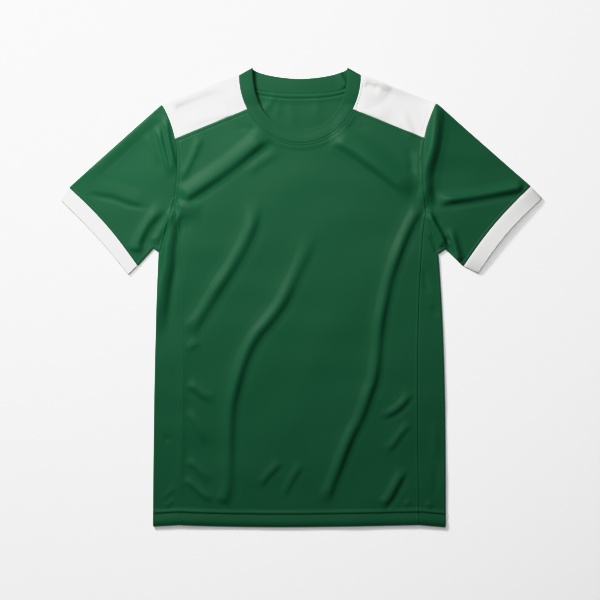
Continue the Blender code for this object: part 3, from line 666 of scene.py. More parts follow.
def seam(line, stitch=0.0, dip=SEAM_DIP, pull=STITCH_DIP):
    """An edge that is sewn to another piece."""
    return Edge(line, "seam", stitch, dip, pull)


def turn(line):
    """An edge where the cloth goes on from the upper sheet to the lower one."""
    return Edge(line, "turn")


def opening(line):
    """An edge that is sewn to nothing."""
    return Edge(line, "open")


def ring(sign, *edges):
    """Edges in order round a sheet, anticlockwise, given as they run on the right side."""
    if sign > 0:
        return list(edges)
    return [edge._replace(line=edge.line[::-1]) for edge in reversed(edges)]


def seam_relief(edges, points):
    """How far the seams and their stitched-down allowances move the cloth out at each point."""
    reach = ROWS_IN[-1]
    relief = np.zeros(len(points))
    deepest = np.zeros(len(points))
    for edge in edges:
        if edge.kind != "seam":
            continue
        away = distance(edge.line, points, reach)
        deepest = np.maximum(deepest, edge.dip * (1 - ease(away / SEAM_HALF)))
        if edge.stitch:
            band = ease(away / SEAM_HALF) * (1 - ease((away - edge.stitch) / SEAM_HALF + 0.5))
            relief = np.maximum(relief, BAND_RISE * band)
            deepest = np.maximum(deepest, edge.pull * bump((away - edge.stitch) / STITCH_HALF))
    return relief - deepest


def rows_inside(outline, distances):
    """Rows of points that follow an outline on its inside."""
    ins = leftward(np.roll(outline, -1, axis=0) - np.roll(outline, 1, axis=0))
    rows = []
    for clear in distances:
        every = 2 if clear > 2 * EDGE_STEP else 1  # rows far in need only every second point
        row = (outline + ins * clear)[::every]
        away = distance(all_round(outline), row, 2 * clear)
        rows.append(row[(away > ROW_CLEAR * clear) & inside(outline, row)])
    return np.concatenate(rows)


def grid_inside(outline, step, clear):
    """A grid of points, in rows half a step apart, that keeps clear of an outline."""
    low, high = outline.min(axis=0), outline.max(axis=0)
    ys = np.arange(low[1], high[1], step * math.sqrt(3) / 2)
    xs = np.arange(low[0], high[0], step)
    x, y = np.meshgrid(xs, ys)
    x = x + (np.arange(len(ys)) % 2)[:, None] * step / 2
    points = np.stack((x.ravel(), y.ravel()), axis=-1)
    points = points[inside(outline, points)]
    return points[distance(all_round(outline), points, clear) >= clear * 0.999]


def hem_rows(outline):
    """Rows of points along the hem's stitching, inside an outline."""
    points = np.concatenate([WHOLE_HEM + np.array((0.0, up)) for up in HEM_ROWS])
    points = points[inside(outline, points)]
    return points[distance(all_round(outline), points, HEM_DEPTH) > 2 * ROWS_IN[0]]


HEM_ENDS = {key(point) for point in (*HEM[[0, -1]], *WHOLE_HEM[[0, -1]])}
INSIDE_ONLY = 1
SAME_POINT = 1e-8
UP = np.array((0.0, 0.0, 1.0))


def new_mesh(name, points, faces):
    """A smooth mesh."""
    mesh = bpy.data.meshes.new(name)
    mesh.from_pydata(points.tolist(), [], faces)
    mesh.shade_smooth()
    mesh.update()
    return mesh


def lay_grain(mesh, corners):
    """Gives each corner of a mesh's faces its place along and across the grain of the cloth."""
    grain = mesh.uv_layers.new(name="grain")
    grain.uv.foreach_set("vector", np.asarray(corners, np.float32).ravel())


class Cloth:
    """The points and faces of one piece, and where each point lies along the grain of its cloth."""

    def __init__(self, grain=0.0):
        self.blocks, self.faces, self.count = [], [], 0
        self.grain = math.radians(grain)
        self.columns = {}

    def add(self, points):
        """Adds points and gives their numbers."""
        self.blocks.append(np.asarray(points, float))
        numbers = np.arange(self.count, self.count + len(points))
        self.count += len(points)
        return numbers

    def face(self, faces):
        """Adds faces, given by the numbers of their points."""
        self.faces += [tuple(int(i) for i in face) for face in faces]

    def sheet(self, edges, upper, height, rows=ROWS_IN, step=GRID_STEP):
        """Lays one sheet and gives, for each of its edges, the numbers of that edge's points."""
        outline = np.concatenate([edge.line[:-1] for edge in edges])
        plan = [outline, rows_inside(outline, rows), grid_inside(outline, step, rows[-1] + GRID_CLEAR * step)]
        if any(edge.kind == "open" and key(edge.line[0]) in HEM_ENDS for edge in edges):
            plan.append(hem_rows(outline))
        plan = np.concatenate(plan)
        border = list(range(len(outline)))
        _, _, faces, sources, _, _ = delaunay_2d_cdt(
            [Vector(place) for place in plan.tolist()], [], [border], INSIDE_ONLY, SAME_POINT
        )
        faces = np.array([[sources[i][0] for i in face] for face in faces])
        used, flat = np.unique(faces, return_inverse=True)
        places = plan[used]
        numbers = self.add(np.column_stack((places, height(places))))
        faces = numbers[flat.reshape(faces.shape)]
        self.face(faces if upper else faces[:, ::-1])
        made = np.zeros(len(plan), int)
        made[used] = numbers
        found, at = [], 0
        for edge in edges:
            span = np.arange(at, at + len(edge.line)) % len(outline)
            found.append(made[span])
            at += len(edge.line) - 1
        return found

    def where(self, numbers):
        """The places of points, by number."""
        return np.concatenate(self.blocks)[numbers]

    def roll(self, tops, lows, line):
        """Rolls the edge of the upper sheet over to that of the lower one."""
        reaches = np.array([REACHES[key(point)] for point in line])
        high, low = self.where(tops), self.where(lows)
        runs = runs_along(line)
        end = np.minimum(runs, runs[-1] - runs)
        reach = TURN - SEAM_DIP * (1 - ease(end / SEAM_HALF))
        rows, normals = [tops], []
        for step in range(1, TURN_STEPS):
            angle = math.pi * step / TURN_STEPS
            row = (high + low) / 2 + (high - low) / 2 * math.cos(angle)
            row[:, :2] = high[:, :2] + reaches * (reach * math.sin(angle))[:, None]
            rows.append(self.add(row))
            normals.append((math.sin(angle), math.cos(angle)))
        rows.append(lows)
        for upper, lower in zip(rows, rows[1:]):
            for i in range(len(upper) - 1):
                self.face([(upper[i + 1], upper[i], lower[i], lower[i + 1])])
        for at in (0, -1):
            self.columns[key(line[at])] = [
                (row[at], np.array((*(reaches[at] * out), up))) for row, (out, up) in zip(rows[1:-1], normals)
            ]

    def turn_in(self, path, wall, inwards, depth, rows, closed=False, follow=None):
        """Turns the cloth in along an open edge, which gives its end a thickness and a way in.

        path holds the edge's points as numbers, each with the way out of the cloth there.
        """
        numbers = [number for number, _ in path]
        outs = unit(np.array([out for _, out in path]))
        places = self.where(np.array(numbers))
        inwards = np.column_stack((inwards, np.zeros(len(path))))
        lines = [np.array(numbers)]
        for angle in (0.25 * math.pi, 0.5 * math.pi, 0.75 * math.pi, math.pi):
            row = places - outs * wall / 2 * (1 - math.cos(angle)) - inwards * wall / 2 * math.sin(angle)
            lines.append(self.add(row))
        ends = places - outs * wall
        share_up = (outs[:, 2] + 1) / 2
        for step in range(1, rows + 1):
            row = ends + inwards * depth * step / rows
            if follow:
                row[:, 2] += share_up * (follow(row[:, :2]) - follow(ends[:, :2]))
            lines.append(self.add(row))
        for near, far in zip(lines, lines[1:]):
            for i in range(len(near) if closed else len(near) - 1):
                j = (i + 1) % len(near)
                self.face([(near[i], near[j], far[j], far[i])])

    def turn_up_hem(self, path, follow=None):
        """Turns the hem up, inside the jersey."""
        inwards = np.tile((0.0, 1.0), (len(path), 1))
        self.turn_in(path, HEM_WALL, inwards, HEM_DEPTH, HEM_TURN_ROWS, follow=follow)

    def mesh(self, name):
        """The piece's mesh."""
        points = np.concatenate(self.blocks)
        mesh = new_mesh(name, points, self.faces)
        corners = np.empty(len(mesh.loops), int)
        mesh.loops.foreach_get("vertex_index", corners)
        x, y = points[corners, :2].T
        right, up = math.cos(self.grain), math.sin(self.grain)
        lay_grain(mesh, np.column_stack((x * right + y * up, y * right - x * up)))
        return mesh


def place(name, mesh, material, slot):
    """Puts a piece in the scene, riding on the jersey."""
    piece = bpy.data.objects.new(name, mesh)
    mesh.materials.append(material)
    bpy.context.scene.collection.objects.link(piece)
    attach(piece, "root")
    return piece


def dress(name, mesh, fabric, flat, area, rows=()):
    """Puts a shell in the place of its solid, with its stitching; flat and area, the cloth it is cut from, are
    not used.
    """
    shell = place(name + "_shell", mesh, fabric.cloth, fabric.slot)
    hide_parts(name)
    if rows:
        threads = stitch_mesh(name + "_stitching", rows)
        place(threads.name, threads, fabric.thread, fabric.slot)


def outline_area(edges):
    """The area inside a ring of edges."""
    x, y = np.concatenate([edge.line[:-1] for edge in edges]).T
    return abs(x @ np.roll(y, -1) - y @ np.roll(x, -1)) / 2


# Stitches

STITCH_SIDES = 5
STITCH_RINGS = ((0.0, 0.35), (0.16, 1.0), (0.84, 1.0), (1.0, 0.35))  # shares of a stitch's length and width
STITCH_START, STITCH_SHARE = 0.2, 0.72  # where a stitch starts and how long it is, in parts of the pitch
STITCH_LIFT = 0.2  # how far its middle lies off the cloth, in parts of the thread's width


def offset_line(line, out, trim):
    """A line beside another one, to its left, without its two ends."""
    moved = line + leftward(np.gradient(line, axis=0)) * out
    runs = runs_along(moved)
    return moved[(runs >= trim) & (runs <= runs[-1] - trim)]


def stitch_mesh(name, rows):
    """Runs of thread along lines that lie on the cloth: each row is a plan line and its heights' function."""
    sizes = bpy.context.scene.jersey_sizes
    per_stitch = STITCH_SIDES * len(STITCH_RINGS)
    template = [
        (at + i, at + j, at + j + STITCH_SIDES, at + i + STITCH_SIDES)
        for at in range(0, per_stitch - STITCH_SIDES, STITCH_SIDES)
        for i, j in zip(range(STITCH_SIDES), (*range(1, STITCH_SIDES), 0))
    ]
    template += [tuple(reversed(range(STITCH_SIDES))), tuple(range(per_stitch - STITCH_SIDES, per_stitch))]
    points, faces = [], []
    for line, height, up in rows:
        runs = runs_along(line)
        starts = (np.arange(int(runs[-1] / sizes.stitch_pitch)) + STITCH_START) * sizes.stitch_pitch
        heads, tails = (
            points_at(line, runs, starts + part) for part in (0.0, sizes.stitch_pitch * STITCH_SHARE)
        )
        lift = sizes.thread_width * STITCH_LIFT * up
        heads, tails = (np.column_stack((ends, height(ends) + lift)) for ends in (heads, tails))
        ways = tails - heads
        sides = unit(np.cross(UP, ways))
        ups = unit(np.cross(ways, sides))
        rims = []
        for share, wide in STITCH_RINGS:
            for angle in 2 * math.pi * np.arange(STITCH_SIDES) / STITCH_SIDES:
                rim = sides * math.cos(angle) + ups * math.sin(angle)
                rims.append(heads + ways * share + rim * sizes.thread_width / 2 * wide)
        base = sum(map(len, points))
        points.append(np.stack(rims, axis=1).reshape(-1, 3))
        for at in range(base, base + len(points[-1]), per_stitch):
            faces += [tuple(at + i for i in face) for face in template]
    return new_mesh(name, np.concatenate(points), faces)


# Materials

LOOP_SLANT = 0.9  # how steeply the rows of loops climb to both sides of a column's middle
ROW_SWING = 0.25  # how much the rows raise and lower the loops
LEG_POWER = 0.6  # a power that under 1 makes the columns full
LOW_SHADE, SHADE_SWING = 0.75, 0.5  # the knit's painted shade: how bright the colour is painted between its loops, where shade falls, and how much brighter on their tops
MEAN_SHADE = 0.92  # what that painted shade comes to on the whole
COURSE_SHARE = 0.8  # the height of a row of loops, in parts of a column's width
KNIT_GLOSS = 0.15
KNIT_STRENGTH = 0.7
RIB_KNIT_SHARE = 0.3  # how much of the loops shows on the ribs
DYE_NOISES = ((9.0, 3.0), (420.0, 1.0))  # the scale and detail of the dye's broad and of its fine unevenness
ROUGHNESS_SWING = 0.10


def new_group(name, inputs, outputs):
    """A shader node group with named sockets, and its input and output nodes."""
    group = bpy.data.node_groups.new(name, "ShaderNodeTree")
    for way, sockets in (("INPUT", inputs), ("OUTPUT", outputs)):
        for label, kind in sockets.items():
            group.interface.new_socket(name=label, in_out=way, socket_type="NodeSocket" + kind)
    return group, group.nodes.new("NodeGroupInput"), group.nodes.new("NodeGroupOutput")


def once(found_in, name, make, **values):
    """A node group or a material, made the first time that it is asked for."""
    return found_in.get(name) or make(name, **values)


def give(tree, socket, value):
    """Links a socket to another one, or sets it to a value."""
    if isinstance(value, bpy.types.NodeSocket):
        tree.links.new(value, socket)
    else:
        socket.default_value = value


def maths(tree, operation, *values):
    """A Math node on values or sockets, and its result."""
    node = tree.nodes.new("ShaderNodeMath")
    node.operation = operation
    for socket, value in zip(node.inputs, values):
        give(tree, socket, value)
    return node.outputs[0]


def noise(tree, vector, scale, detail):
    """A Noise Texture node's value."""
    node = tree.nodes.new("ShaderNodeTexNoise")
    for name, value in (("Vector", vector), ("Scale", scale), ("Detail", detail)):
        give(tree, node.inputs[name], value)
    return node.outputs["Fac"]


def knit_group(name):
    """Rows of small knitted loops: columns of round legs, whose rows slant to both sides, with a painted shade
    that darkens the colour between the loops and lightens it on their tops.
    """
    group, given, made = new_group(
        name, {"Grain": "Vector", "Wale": "Float", "Course": "Float"}, {"Height": "Float", "Shade": "Float"}
    )
    do = partial(maths, group)
    split = group.nodes.new("ShaderNodeSeparateXYZ")
    group.links.new(given.outputs["Grain"], split.inputs[0])
    wales = do("DIVIDE", split.outputs["X"], given.outputs["Wale"])
    courses = do("DIVIDE", split.outputs["Y"], given.outputs["Course"])
    across = do("ABSOLUTE", do("SUBTRACT", do("FRACT", wales), 0.5))
    slant = do("MULTIPLY_ADD", across, LOOP_SLANT, courses)
    rows = do("MULTIPLY_ADD", do("SINE", do("MULTIPLY", slant, 2 * math.pi)), ROW_SWING, 0.5)
    legs = do("SINE", do("MULTIPLY", do("FRACT", wales), math.pi))
    height = do("MULTIPLY", do("POWER", do("MAXIMUM", legs, 0.0), LEG_POWER), rows)
    group.links.new(height, made.inputs["Height"])
    # painted shade: the colour is darker where the loops are low, where shade falls, and lighter on their tops
    group.links.new(do("MULTIPLY_ADD", height, SHADE_SWING, LOW_SHADE), made.inputs["Shade"])
    return group


def rib_group(name):
    """Narrow ribs side by side."""
    group, given, made = new_group(name, {"Grain": "Vector", "Pitch": "Float"}, {"Height": "Float"})
    do = partial(maths, group)
    split = group.nodes.new("ShaderNodeSeparateXYZ")
    group.links.new(given.outputs["Grain"], split.inputs[0])
    turns = do("DIVIDE", split.outputs["X"], given.outputs["Pitch"])
    wave = do("SINE", do("MULTIPLY", turns, 2 * math.pi))
    group.links.new(do("MULTIPLY_ADD", wave, 0.5, 0.5), made.inputs["Height"])
    return group


def dye_and_painted_shade_group(name):
    """Soft unevenness of a dyed cloth, with the knit's painted shade laid on it: its colour, and how rough it
    looks.
    """
    numbers = dict.fromkeys(("Shade", "Contrast", "Unevenness", "Roughness"), "Float")
    group, given, made = new_group(
        name, {"Place": "Vector", "Colour": "Color", **numbers}, {"Colour": "Color", "Roughness": "Float"}
    )
    do = partial(maths, group)
    broad, fine = (
        do("SUBTRACT", noise(group, given.outputs["Place"], scale, detail), 0.5)
        for scale, detail in DYE_NOISES
    )
    swing = do("MULTIPLY_ADD", do("ADD", broad, fine), given.outputs["Unevenness"], 1.0)
    # the knit's painted shade, as deep as Contrast asks, darkens the colour between the loops
    painted_shade = do("SUBTRACT", given.outputs["Shade"], MEAN_SHADE)
    painted_shade = do("MULTIPLY_ADD", painted_shade, given.outputs["Contrast"], 1.0)
    factor = do("MULTIPLY", swing, painted_shade)
    tint = group.nodes.new("ShaderNodeVectorMath")
    tint.operation = "SCALE"
    group.links.new(given.outputs["Colour"], tint.inputs[0])
    group.links.new(factor, tint.inputs["Scale"])
    group.links.new(tint.outputs[0], made.inputs["Colour"])
    rough = do("MULTIPLY_ADD", broad, ROUGHNESS_SWING, given.outputs["Roughness"])
    group.links.new(rough, made.inputs["Roughness"])
    return group


def placed(tree, name, make, **values):
    """A group's node in a material, with its own values and links."""
    node = tree.nodes.new("ShaderNodeGroup")
    node.node_tree = once(bpy.data.node_groups, name, make)
    for socket, value in values.items():
        give(tree, node.inputs[socket], value)
    return node


def dyed_material(name, colour, unevenness, roughness, contrast=1.0):
    """A material with a dyed colour, its node for the dye and for a painted knit shade, and its shader."""
    material = bpy.data.materials.new(name)
    material.use_nodes = True
    tree = material.node_tree
    shader = tree.nodes["Principled BSDF"]
    where = tree.nodes.new("ShaderNodeTexCoord")
    dye_and_shade = placed(
        tree, "dyed cloth", dye_and_painted_shade_group, Place=where.outputs["Object"], Colour=(*colour, 1.0), Shade=MEAN_SHADE,
        Contrast=contrast, Unevenness=unevenness, Roughness=roughness,
    )
    tree.links.new(dye_and_shade.outputs["Colour"], shader.inputs["Base Color"])
    tree.links.new(dye_and_shade.outputs["Roughness"], shader.inputs["Roughness"])
    return material, dye_and_shade, shader


def cloth_material(name, colour, roughness, depth, unevenness=0.06, contrast=1.0, rib=False):
    """A knitted cloth, with the knit's painted shade in its colour."""
    sizes = bpy.context.scene.jersey_sizes
    material, dye_and_shade, shader = dyed_material(name, colour, unevenness, roughness, contrast)
    tree = material.node_tree
    grain = tree.nodes.new("ShaderNodeUVMap")
    grain.uv_map = "grain"
    knit = placed(
        tree, "knit loops", knit_group, Grain=grain.outputs["UV"], Wale=sizes.knit_pitch,
        Course=sizes.knit_pitch * COURSE_SHARE,
    )
    # the knit's painted shade goes into the cloth's colour
    tree.links.new(knit.outputs["Shade"], dye_and_shade.inputs["Shade"])
    height = knit.outputs["Height"]
    if rib:
        ribs = placed(tree, "ribs", rib_group, Grain=grain.outputs["UV"], Pitch=sizes.rib_pitch)
        height = maths(tree, "MULTIPLY_ADD", height, RIB_KNIT_SHARE, ribs.outputs["Height"])
    relief = tree.nodes.new("ShaderNodeBump")
    for socket, value in (("Distance", depth), ("Strength", KNIT_STRENGTH), ("Height", height)):
        give(tree, relief.inputs[socket], value)
    tree.links.new(relief.outputs["Normal"], shader.inputs["Normal"])
    shader.inputs["Specular IOR Level"].default_value = KNIT_GLOSS
    return material


def thread_material(name, colour, times):
    """A sewing thread, so many times as bright as a colour."""
    return dyed_material(name, [times * c for c in colour], unevenness=0.2, roughness=0.5)[0]


Fabric = namedtuple("Fabric", "cloth thread slot")


def green():
    """The body's cloth and thread."""
    colour, materials = bpy.context.scene.jersey_colours.green, bpy.data.materials
    return Fabric(
        once(materials, "green jersey knit", cloth_material, colour=colour, roughness=0.50, depth=0.00007),
        once(materials, "green thread", thread_material, colour=colour, times=1.9),
        "jersey_green",
    )


def white():
    """The same of the yokes and the cuffs."""
    colour, materials = bpy.context.scene.jersey_colours.white, bpy.data.materials
    return Fabric(
        once(
            materials, "white jersey knit", cloth_material, colour=colour, roughness=0.60, depth=0.00005,
            # contrast 0.4: the white shows less of the knit's painted shade
            unevenness=0.015, contrast=0.4,
        ),
        # the white thread is drawn at 0.30 of the white: painted shade, standing in for the shadow along its
        # rows of stitching
        once(materials, "white thread", thread_material, colour=colour, times=0.30),
        "jersey_white",
    )


def green_rib():
    """The collar's cloth, which shows no thread."""
    colour, materials = bpy.context.scene.jersey_colours.rib, bpy.data.materials
    knit = once(
        materials, "green collar rib", cloth_material, colour=colour, roughness=0.60, depth=0.00015, rib=True,
    )
    return Fabric(knit, None, "rib_green")


# What a user would change

def length_property(name, description, default):
    """A length that a user would change."""
    return FloatProperty(name=name, description=description, default=default, unit="LENGTH")


def colour_property(name, description, default):
    """A colour that a user would change."""
    return FloatVectorProperty(
        name=name, description=description, default=default, subtype="COLOR", min=0.0, max=1.0
    )


class JerseySizes(bpy.types.PropertyGroup):
    fold_strength: FloatProperty(
        name="Folds", description="How high the folds stand, as a share of their own height", default=0.92,
        min=0.0, max=2.0, subtype="FACTOR",
    )
    seam_stitch: length_property("Topstitch", "From a seam to its row of topstitching", 0.0053)
    side_stitch: length_property("Side topstitch", "From a side seam to its row of stitching", 0.0045)
    stitch_pitch: length_property("Stitch", "From one stitch to the next", 0.0030)
    thread_width: length_property("Thread", "How thick the sewing thread is", 0.00060)
    knit_pitch: length_property("Knit", "From one column of loops to the next", 0.0011)
    rib_pitch: length_property("Rib", "From one rib of the collar to the next", 0.0018)


class JerseyColours(bpy.types.PropertyGroup):
    green: colour_property("Body", "Colour of the body and the sleeves", (0.0094, 0.1225, 0.0490))
    rib: colour_property("Collar", "Colour of the collar", (0.0090, 0.1170, 0.0468))
    white: colour_property("Yokes and cuffs", "Colour of the yokes and the cuffs", (0.71, 0.71, 0.71))
    floor: colour_property("Ground", "Colour of what the jersey lies on", (0.83, 0.83, 0.832))


# The pieces of the jersey

def with_relief(edges, base, sign, thicker=None):
    """A height function: the sheet's own, with its seams, and thicker away from them where it is doubled."""

    def height(points):
        made = base(points) + sign * seam_relief(edges, points)
        return made + thicker(points) if thicker else made

    return height


def hem_thickness(points):
    """How much thicker the cloth is where it is turned up."""
    away = distance(COARSE_HEM, points, HEM_DEPTH + 2 * HEM_STEP)
    return (HEM_WALL - CLOTH) * (1 - ease((away - HEM_DEPTH) / HEM_STEP))


def hem_groove(points):
    """How deep the hem's stitching pulls the cloth."""
    away = distance(COARSE_HEM, points, HEM_DEPTH + 3 * HEM_STEP)
    return HEM_LINE_DIP * bump((away - HEM_LINE) / HEM_LINE_HALF)


def upper_panel_extra(points):
    """How far the hem raises the outer face of the upper sheet."""
    return hem_thickness(points) - hem_groove(points)


def lower_panel_extra(points):
    """How far the hem raises the outer face of the lower one, which is underneath."""
    return LOW_GROOVE_SHARE * hem_groove(points)


def tape_relief(neck, points):
    """How far the tape inside the back of the neck stands up from the back."""
    away = distance(neck, points, TAPE_BAND_EDGE + TAPE_BAND_FALL)
    band = TAPE_BAND * (1 - ease((away - TAPE_BAND_EDGE) / TAPE_BAND_FALL))
    ridge = TAPE_RIDGE * bump((away - TAPE_RIDGE_AT) / TAPE_RIDGE_HALF)
    return band + ridge - TAPE_LINE_DIP * bump((away - TAPE_LINE_AT) / TAPE_LINE_HALF)


NECK_EDGE = 4  # which of a body's edges is the neck


def body_edges(yoke_seam, armhole, neck_edge, stitched):
    """The edges of the front or of the back."""
    sizes = bpy.context.scene.jersey_sizes
    left, right = SIDE_LINES["left"], SIDE_LINES["right"]
    top, side_stitch = (sizes.seam_stitch, sizes.side_stitch) if stitched else (0.0, 0.0)
    return [
        opening(HEM),
        seam(right["side_seam"][::-1], side_stitch, SIDE_DIPS[1]),
        seam(right[armhole][::-1], top),
        seam(right[yoke_seam], top),
        seam(neck_run(neck_edge, YOKE_NECK_STEP, NECK_STEPS - YOKE_NECK_STEP), top),
        seam(left[yoke_seam][::-1], top),
        seam(left[armhole], top),
        seam(left["side_seam"], side_stitch, SIDE_DIPS[-1]),
    ]


def facing(numbers, out):
    """Points as an open edge's path, with the way out of the cloth."""
    return [(number, out) for number in numbers]


def open_edge(edges):
    """Which edge of a ring is open."""
    return next(i for i, edge in enumerate(edges) if edge.kind == "open")


def stitch_rows(edges, height):
    """A row of stitches beside each stitched seam, and where it lies."""
    return [(offset_line(edge.line, edge.stitch, STITCH_TRIM), height, 1) for edge in edges if edge.stitch]


def hem_row(line, height, up=1):
    """The row of stitches along a hem's edge."""
    return line[HEM_TRIM:-HEM_TRIM] + np.array((0.0, HEM_LINE)), height, up


class JERSEY_OT_front(bpy.types.Operator):
    """Lay the front over the back"""

    bl_idname = "jersey.front"
    bl_label = "Front"

    def execute(self, context):
        edges = body_edges("yoke_front", "armhole_front", "front_seam", True)
        height = with_relief(edges, top_height, 1, upper_panel_extra)
        cloth = Cloth()
        found = cloth.sheet(edges, True, height)
        cloth.turn_up_hem(facing(found[0], UP), top_height)
        area = outline_area(edges) + HEM_DEPTH * HEM_WIDTH
        rows = [*stitch_rows(edges, height), hem_row(HEM, height)]
        dress("front", cloth.mesh("front"), green(), FRONT_FLAT, area, rows)
        return {"FINISHED"}


class JERSEY_OT_back(bpy.types.Operator):
    """Lay the back on the ground"""

    bl_idname = "jersey.back"
    bl_label = "Back"

    def execute(self, context):
        edges = body_edges("yoke_back", "armhole_back", "back_seam", False)
        neck = edges[NECK_EDGE]
        seamed = with_relief([edge for edge in edges if edge is not neck], low_height, -1, lower_panel_extra)

        def height(points):
            return seamed(points) + tape_relief(neck.line, points)

        cloth = Cloth()
        found = cloth.sheet(edges, False, height, BACK_ROWS_IN, LOW_GRID_STEP)
        cloth.turn_up_hem(facing(found[0], -UP)[::-1])
        area = outline_area(edges) + HEM_DEPTH * HEM_WIDTH
        dress("back", cloth.mesh("back"), green(), BACK_FLAT, area, rows=[hem_row(HEM, height, -1)])
        return {"FINISHED"}


def tube(upper, lower, upper_height, lower_height, grain=0.0):
    """A piece that wraps round one or more turned edges: its cloth, and the numbers of its edges' points.

    upper and lower hold their edges in the same order.
    """
    cloth = Cloth(grain)
    tops = cloth.sheet(upper, True, upper_height)
    lows = cloth.sheet(lower, False, lower_height, LOW_ROWS_IN, LOW_GRID_STEP)
    for edge, top, low in zip(upper, tops, lows):
        if edge.kind == "turn":
            cloth.roll(top, low, edge.line)
    return cloth, tops, lows


def wrap(name, upper, lower, fabric, flat, roll_area, grain=0.0):
    """Makes a piece without an open edge from the edges of its two sheets, and stitches the upper one."""
    high = with_relief(upper, top_height, 1)
    cloth, _, _ = tube(upper, lower, high, with_relief(lower, low_height, -1), grain)
    area = outline_area(upper) + outline_area(lower) + roll_area
    dress(name, cloth.mesh(name), fabric, flat, area, rows=stitch_rows(upper, high))


class JERSEY_OT_side_panels(bpy.types.Operator):
    """Wrap a panel round each side"""

    bl_idname = "jersey.side_panels"
    bl_label = "Side panels"

    def execute(self, context):
        for side in SIDES:
            lines = SIDE_LINES[side.name]
            edges = ring(
                side.sign,
                seam(lines["side_seam"], 0.0, SIDE_DIPS[side.sign]),
                opening(lines["hem_side"]),
                turn(lines["side_turn"][::-1]),
                seam(lines["armhole_side"][::-1]),
            )
            upper = with_relief(edges, top_height, 1, upper_panel_extra)
            lower = with_relief(edges, low_height, -1, lower_panel_extra)
            cloth, tops, lows = tube(edges, edges, upper, lower)
            at = open_edge(edges)
            column = cloth.columns[key(np.array(side.hem_corner))]
            over, under = facing(tops[at], UP), facing(lows[at], -UP)[::-1]
            path = over + column + under if side.sign > 0 else under + column[::-1] + over
            cloth.turn_up_hem(path, top_height)
            name = "side_" + side.name
            area = 2 * outline_area(edges) + SIDE_ROLL_AREA
            dress(name, cloth.mesh(name), green(), SIDE_FLAT, area, rows=[hem_row(lines["hem_side"], upper)])
        return {"FINISHED"}


class JERSEY_OT_yokes(bpy.types.Operator):
    """Set a yoke over each shoulder"""

    bl_idname = "jersey.yokes"
    bl_label = "Yokes"

    def execute(self, context):
        stitch = context.scene.jersey_sizes.seam_stitch
        for side in SIDES:
            lines = SIDE_LINES[side.name]
            upper, lower = (
                ring(
                    side.sign,
                    turn(lines["yoke_turn"][::-1]),
                    seam(lines[neck], inset, pull=YOKE_STITCH_DIP),
                    seam(lines[front][::-1]),
                    seam(lines[armhole][::-1], inset, pull=YOKE_STITCH_DIP),
                )
                for neck, front, armhole, inset in (
                    ("neck_yoke", "yoke_front", "armhole_yoke", stitch),
                    ("neck_yoke_back", "yoke_back", "armhole_yoke_back", 0.0),
                )
            )
            wrap("yoke_" + side.name, upper, lower, white(), YOKE_FLAT, YOKE_ROLL_AREA)
        return {"FINISHED"}


class JERSEY_OT_sleeves(bpy.types.Operator):
    """Set a sleeve into each armhole"""

    bl_idname = "jersey.sleeves"
    bl_label = "Sleeves"

    def execute(self, context):
        sizes = context.scene.jersey_sizes
        for side in SIDES:
            lines = SIDE_LINES[side.name]
            upper, lower = (
                ring(
                    side.sign,
                    turn(lines["sleeve_turn"][::-1]),
                    seam(lines[armhole]),
                    seam(lines["armhole_side"], under),
                    turn(lines["underarm_turn"][::-1]),
                    seam(lines["cuff_seam"][::-1], stitch),
                )
                for armhole, stitch, under in (
                    ("armhole", sizes.seam_stitch, sizes.side_stitch),
                    ("armhole_low", 0.0, 0.0),
                )
            )
            grain = -side.sign * SLEEVE_GRAIN
            wrap("sleeve_" + side.name, upper, lower, green(), SLEEVE_FLAT, SLEEVE_ROLL_AREA, grain)
        return {"FINISHED"}


class JERSEY_OT_cuffs(bpy.types.Operator):
    """Band each sleeve's end"""

    bl_idname = "jersey.cuffs"
    bl_label = "Cuffs"

    def execute(self, context):
        for side in SIDES:
            lines = SIDE_LINES[side.name]
            edges = ring(
                side.sign,
                turn(lines["cuff_turn"][::-1]),
                seam(lines["cuff_seam"]),
                turn(lines["cuff_turn_low"][::-1]),
                opening(lines["mouth"][::-1]),
            )

            def doubled(points, line=coarse(lines["cuff_seam"])):
                away = distance(line, points, CUFF_BAND_REACH)
                return (CUFF_WALL - CLOTH) * ease(away / CUFF_BAND_EDGE)

            upper = with_relief(edges, top_height, 1, doubled)
            lower = with_relief(edges, low_height, -1)
            cloth, tops, lows = tube(edges, edges, upper, lower, grain=-side.sign * SLEEVE_GRAIN)
            at = open_edge(edges)
            mouth = edges[at].line
            over, under = facing(tops[at], UP), facing(lows[at], -UP)[::-1]
            first, last = cloth.columns[key(mouth[0])], cloth.columns[key(mouth[-1])]
            ends = unit(np.array([
                lines["cuff_turn"][0] - lines["cuff_turn"][-1],
                lines["cuff_turn_low"][-1] - lines["cuff_turn_low"][0],
            ]))
            if side.sign > 0:  # the mouth then runs from its low end to its top
                ends = ends[::-1]
            share = np.linspace(0.0, 1.0, len(over))[:, None]
            ways = unit(ends[0] * (1 - share) + ends[1] * share)
            inwards = np.concatenate((
                ways, np.tile(ends[1], (len(last), 1)), ways[::-1], np.tile(ends[0], (len(first), 1)),
            ))
            path = over + last + under + first[::-1]
            cloth.turn_in(path, CUFF_WALL, inwards, CUFF_TURN_IN, CUFF_TURN_ROWS, True, top_height)
            name = "cuff_" + side.name
            dress(name, cloth.mesh(name), white(), CUFF_FLAT, CUFF_AREA)
        return {"FINISHED"}


COLLAR_SECTION = 26  # points round the band's section
COLLAR_STATIONS = 6  # sections to a step of the neckline
COLLAR_OVERLAP = 0.0008  # how far the band goes over its seam
COLLAR_DEPTH = 0.022  # of the cloth from its seam to its free edge
COLLAR_ROUND, COLLAR_FULL = 0.75, 0.5  # powers that round the section's edges and fill its faces


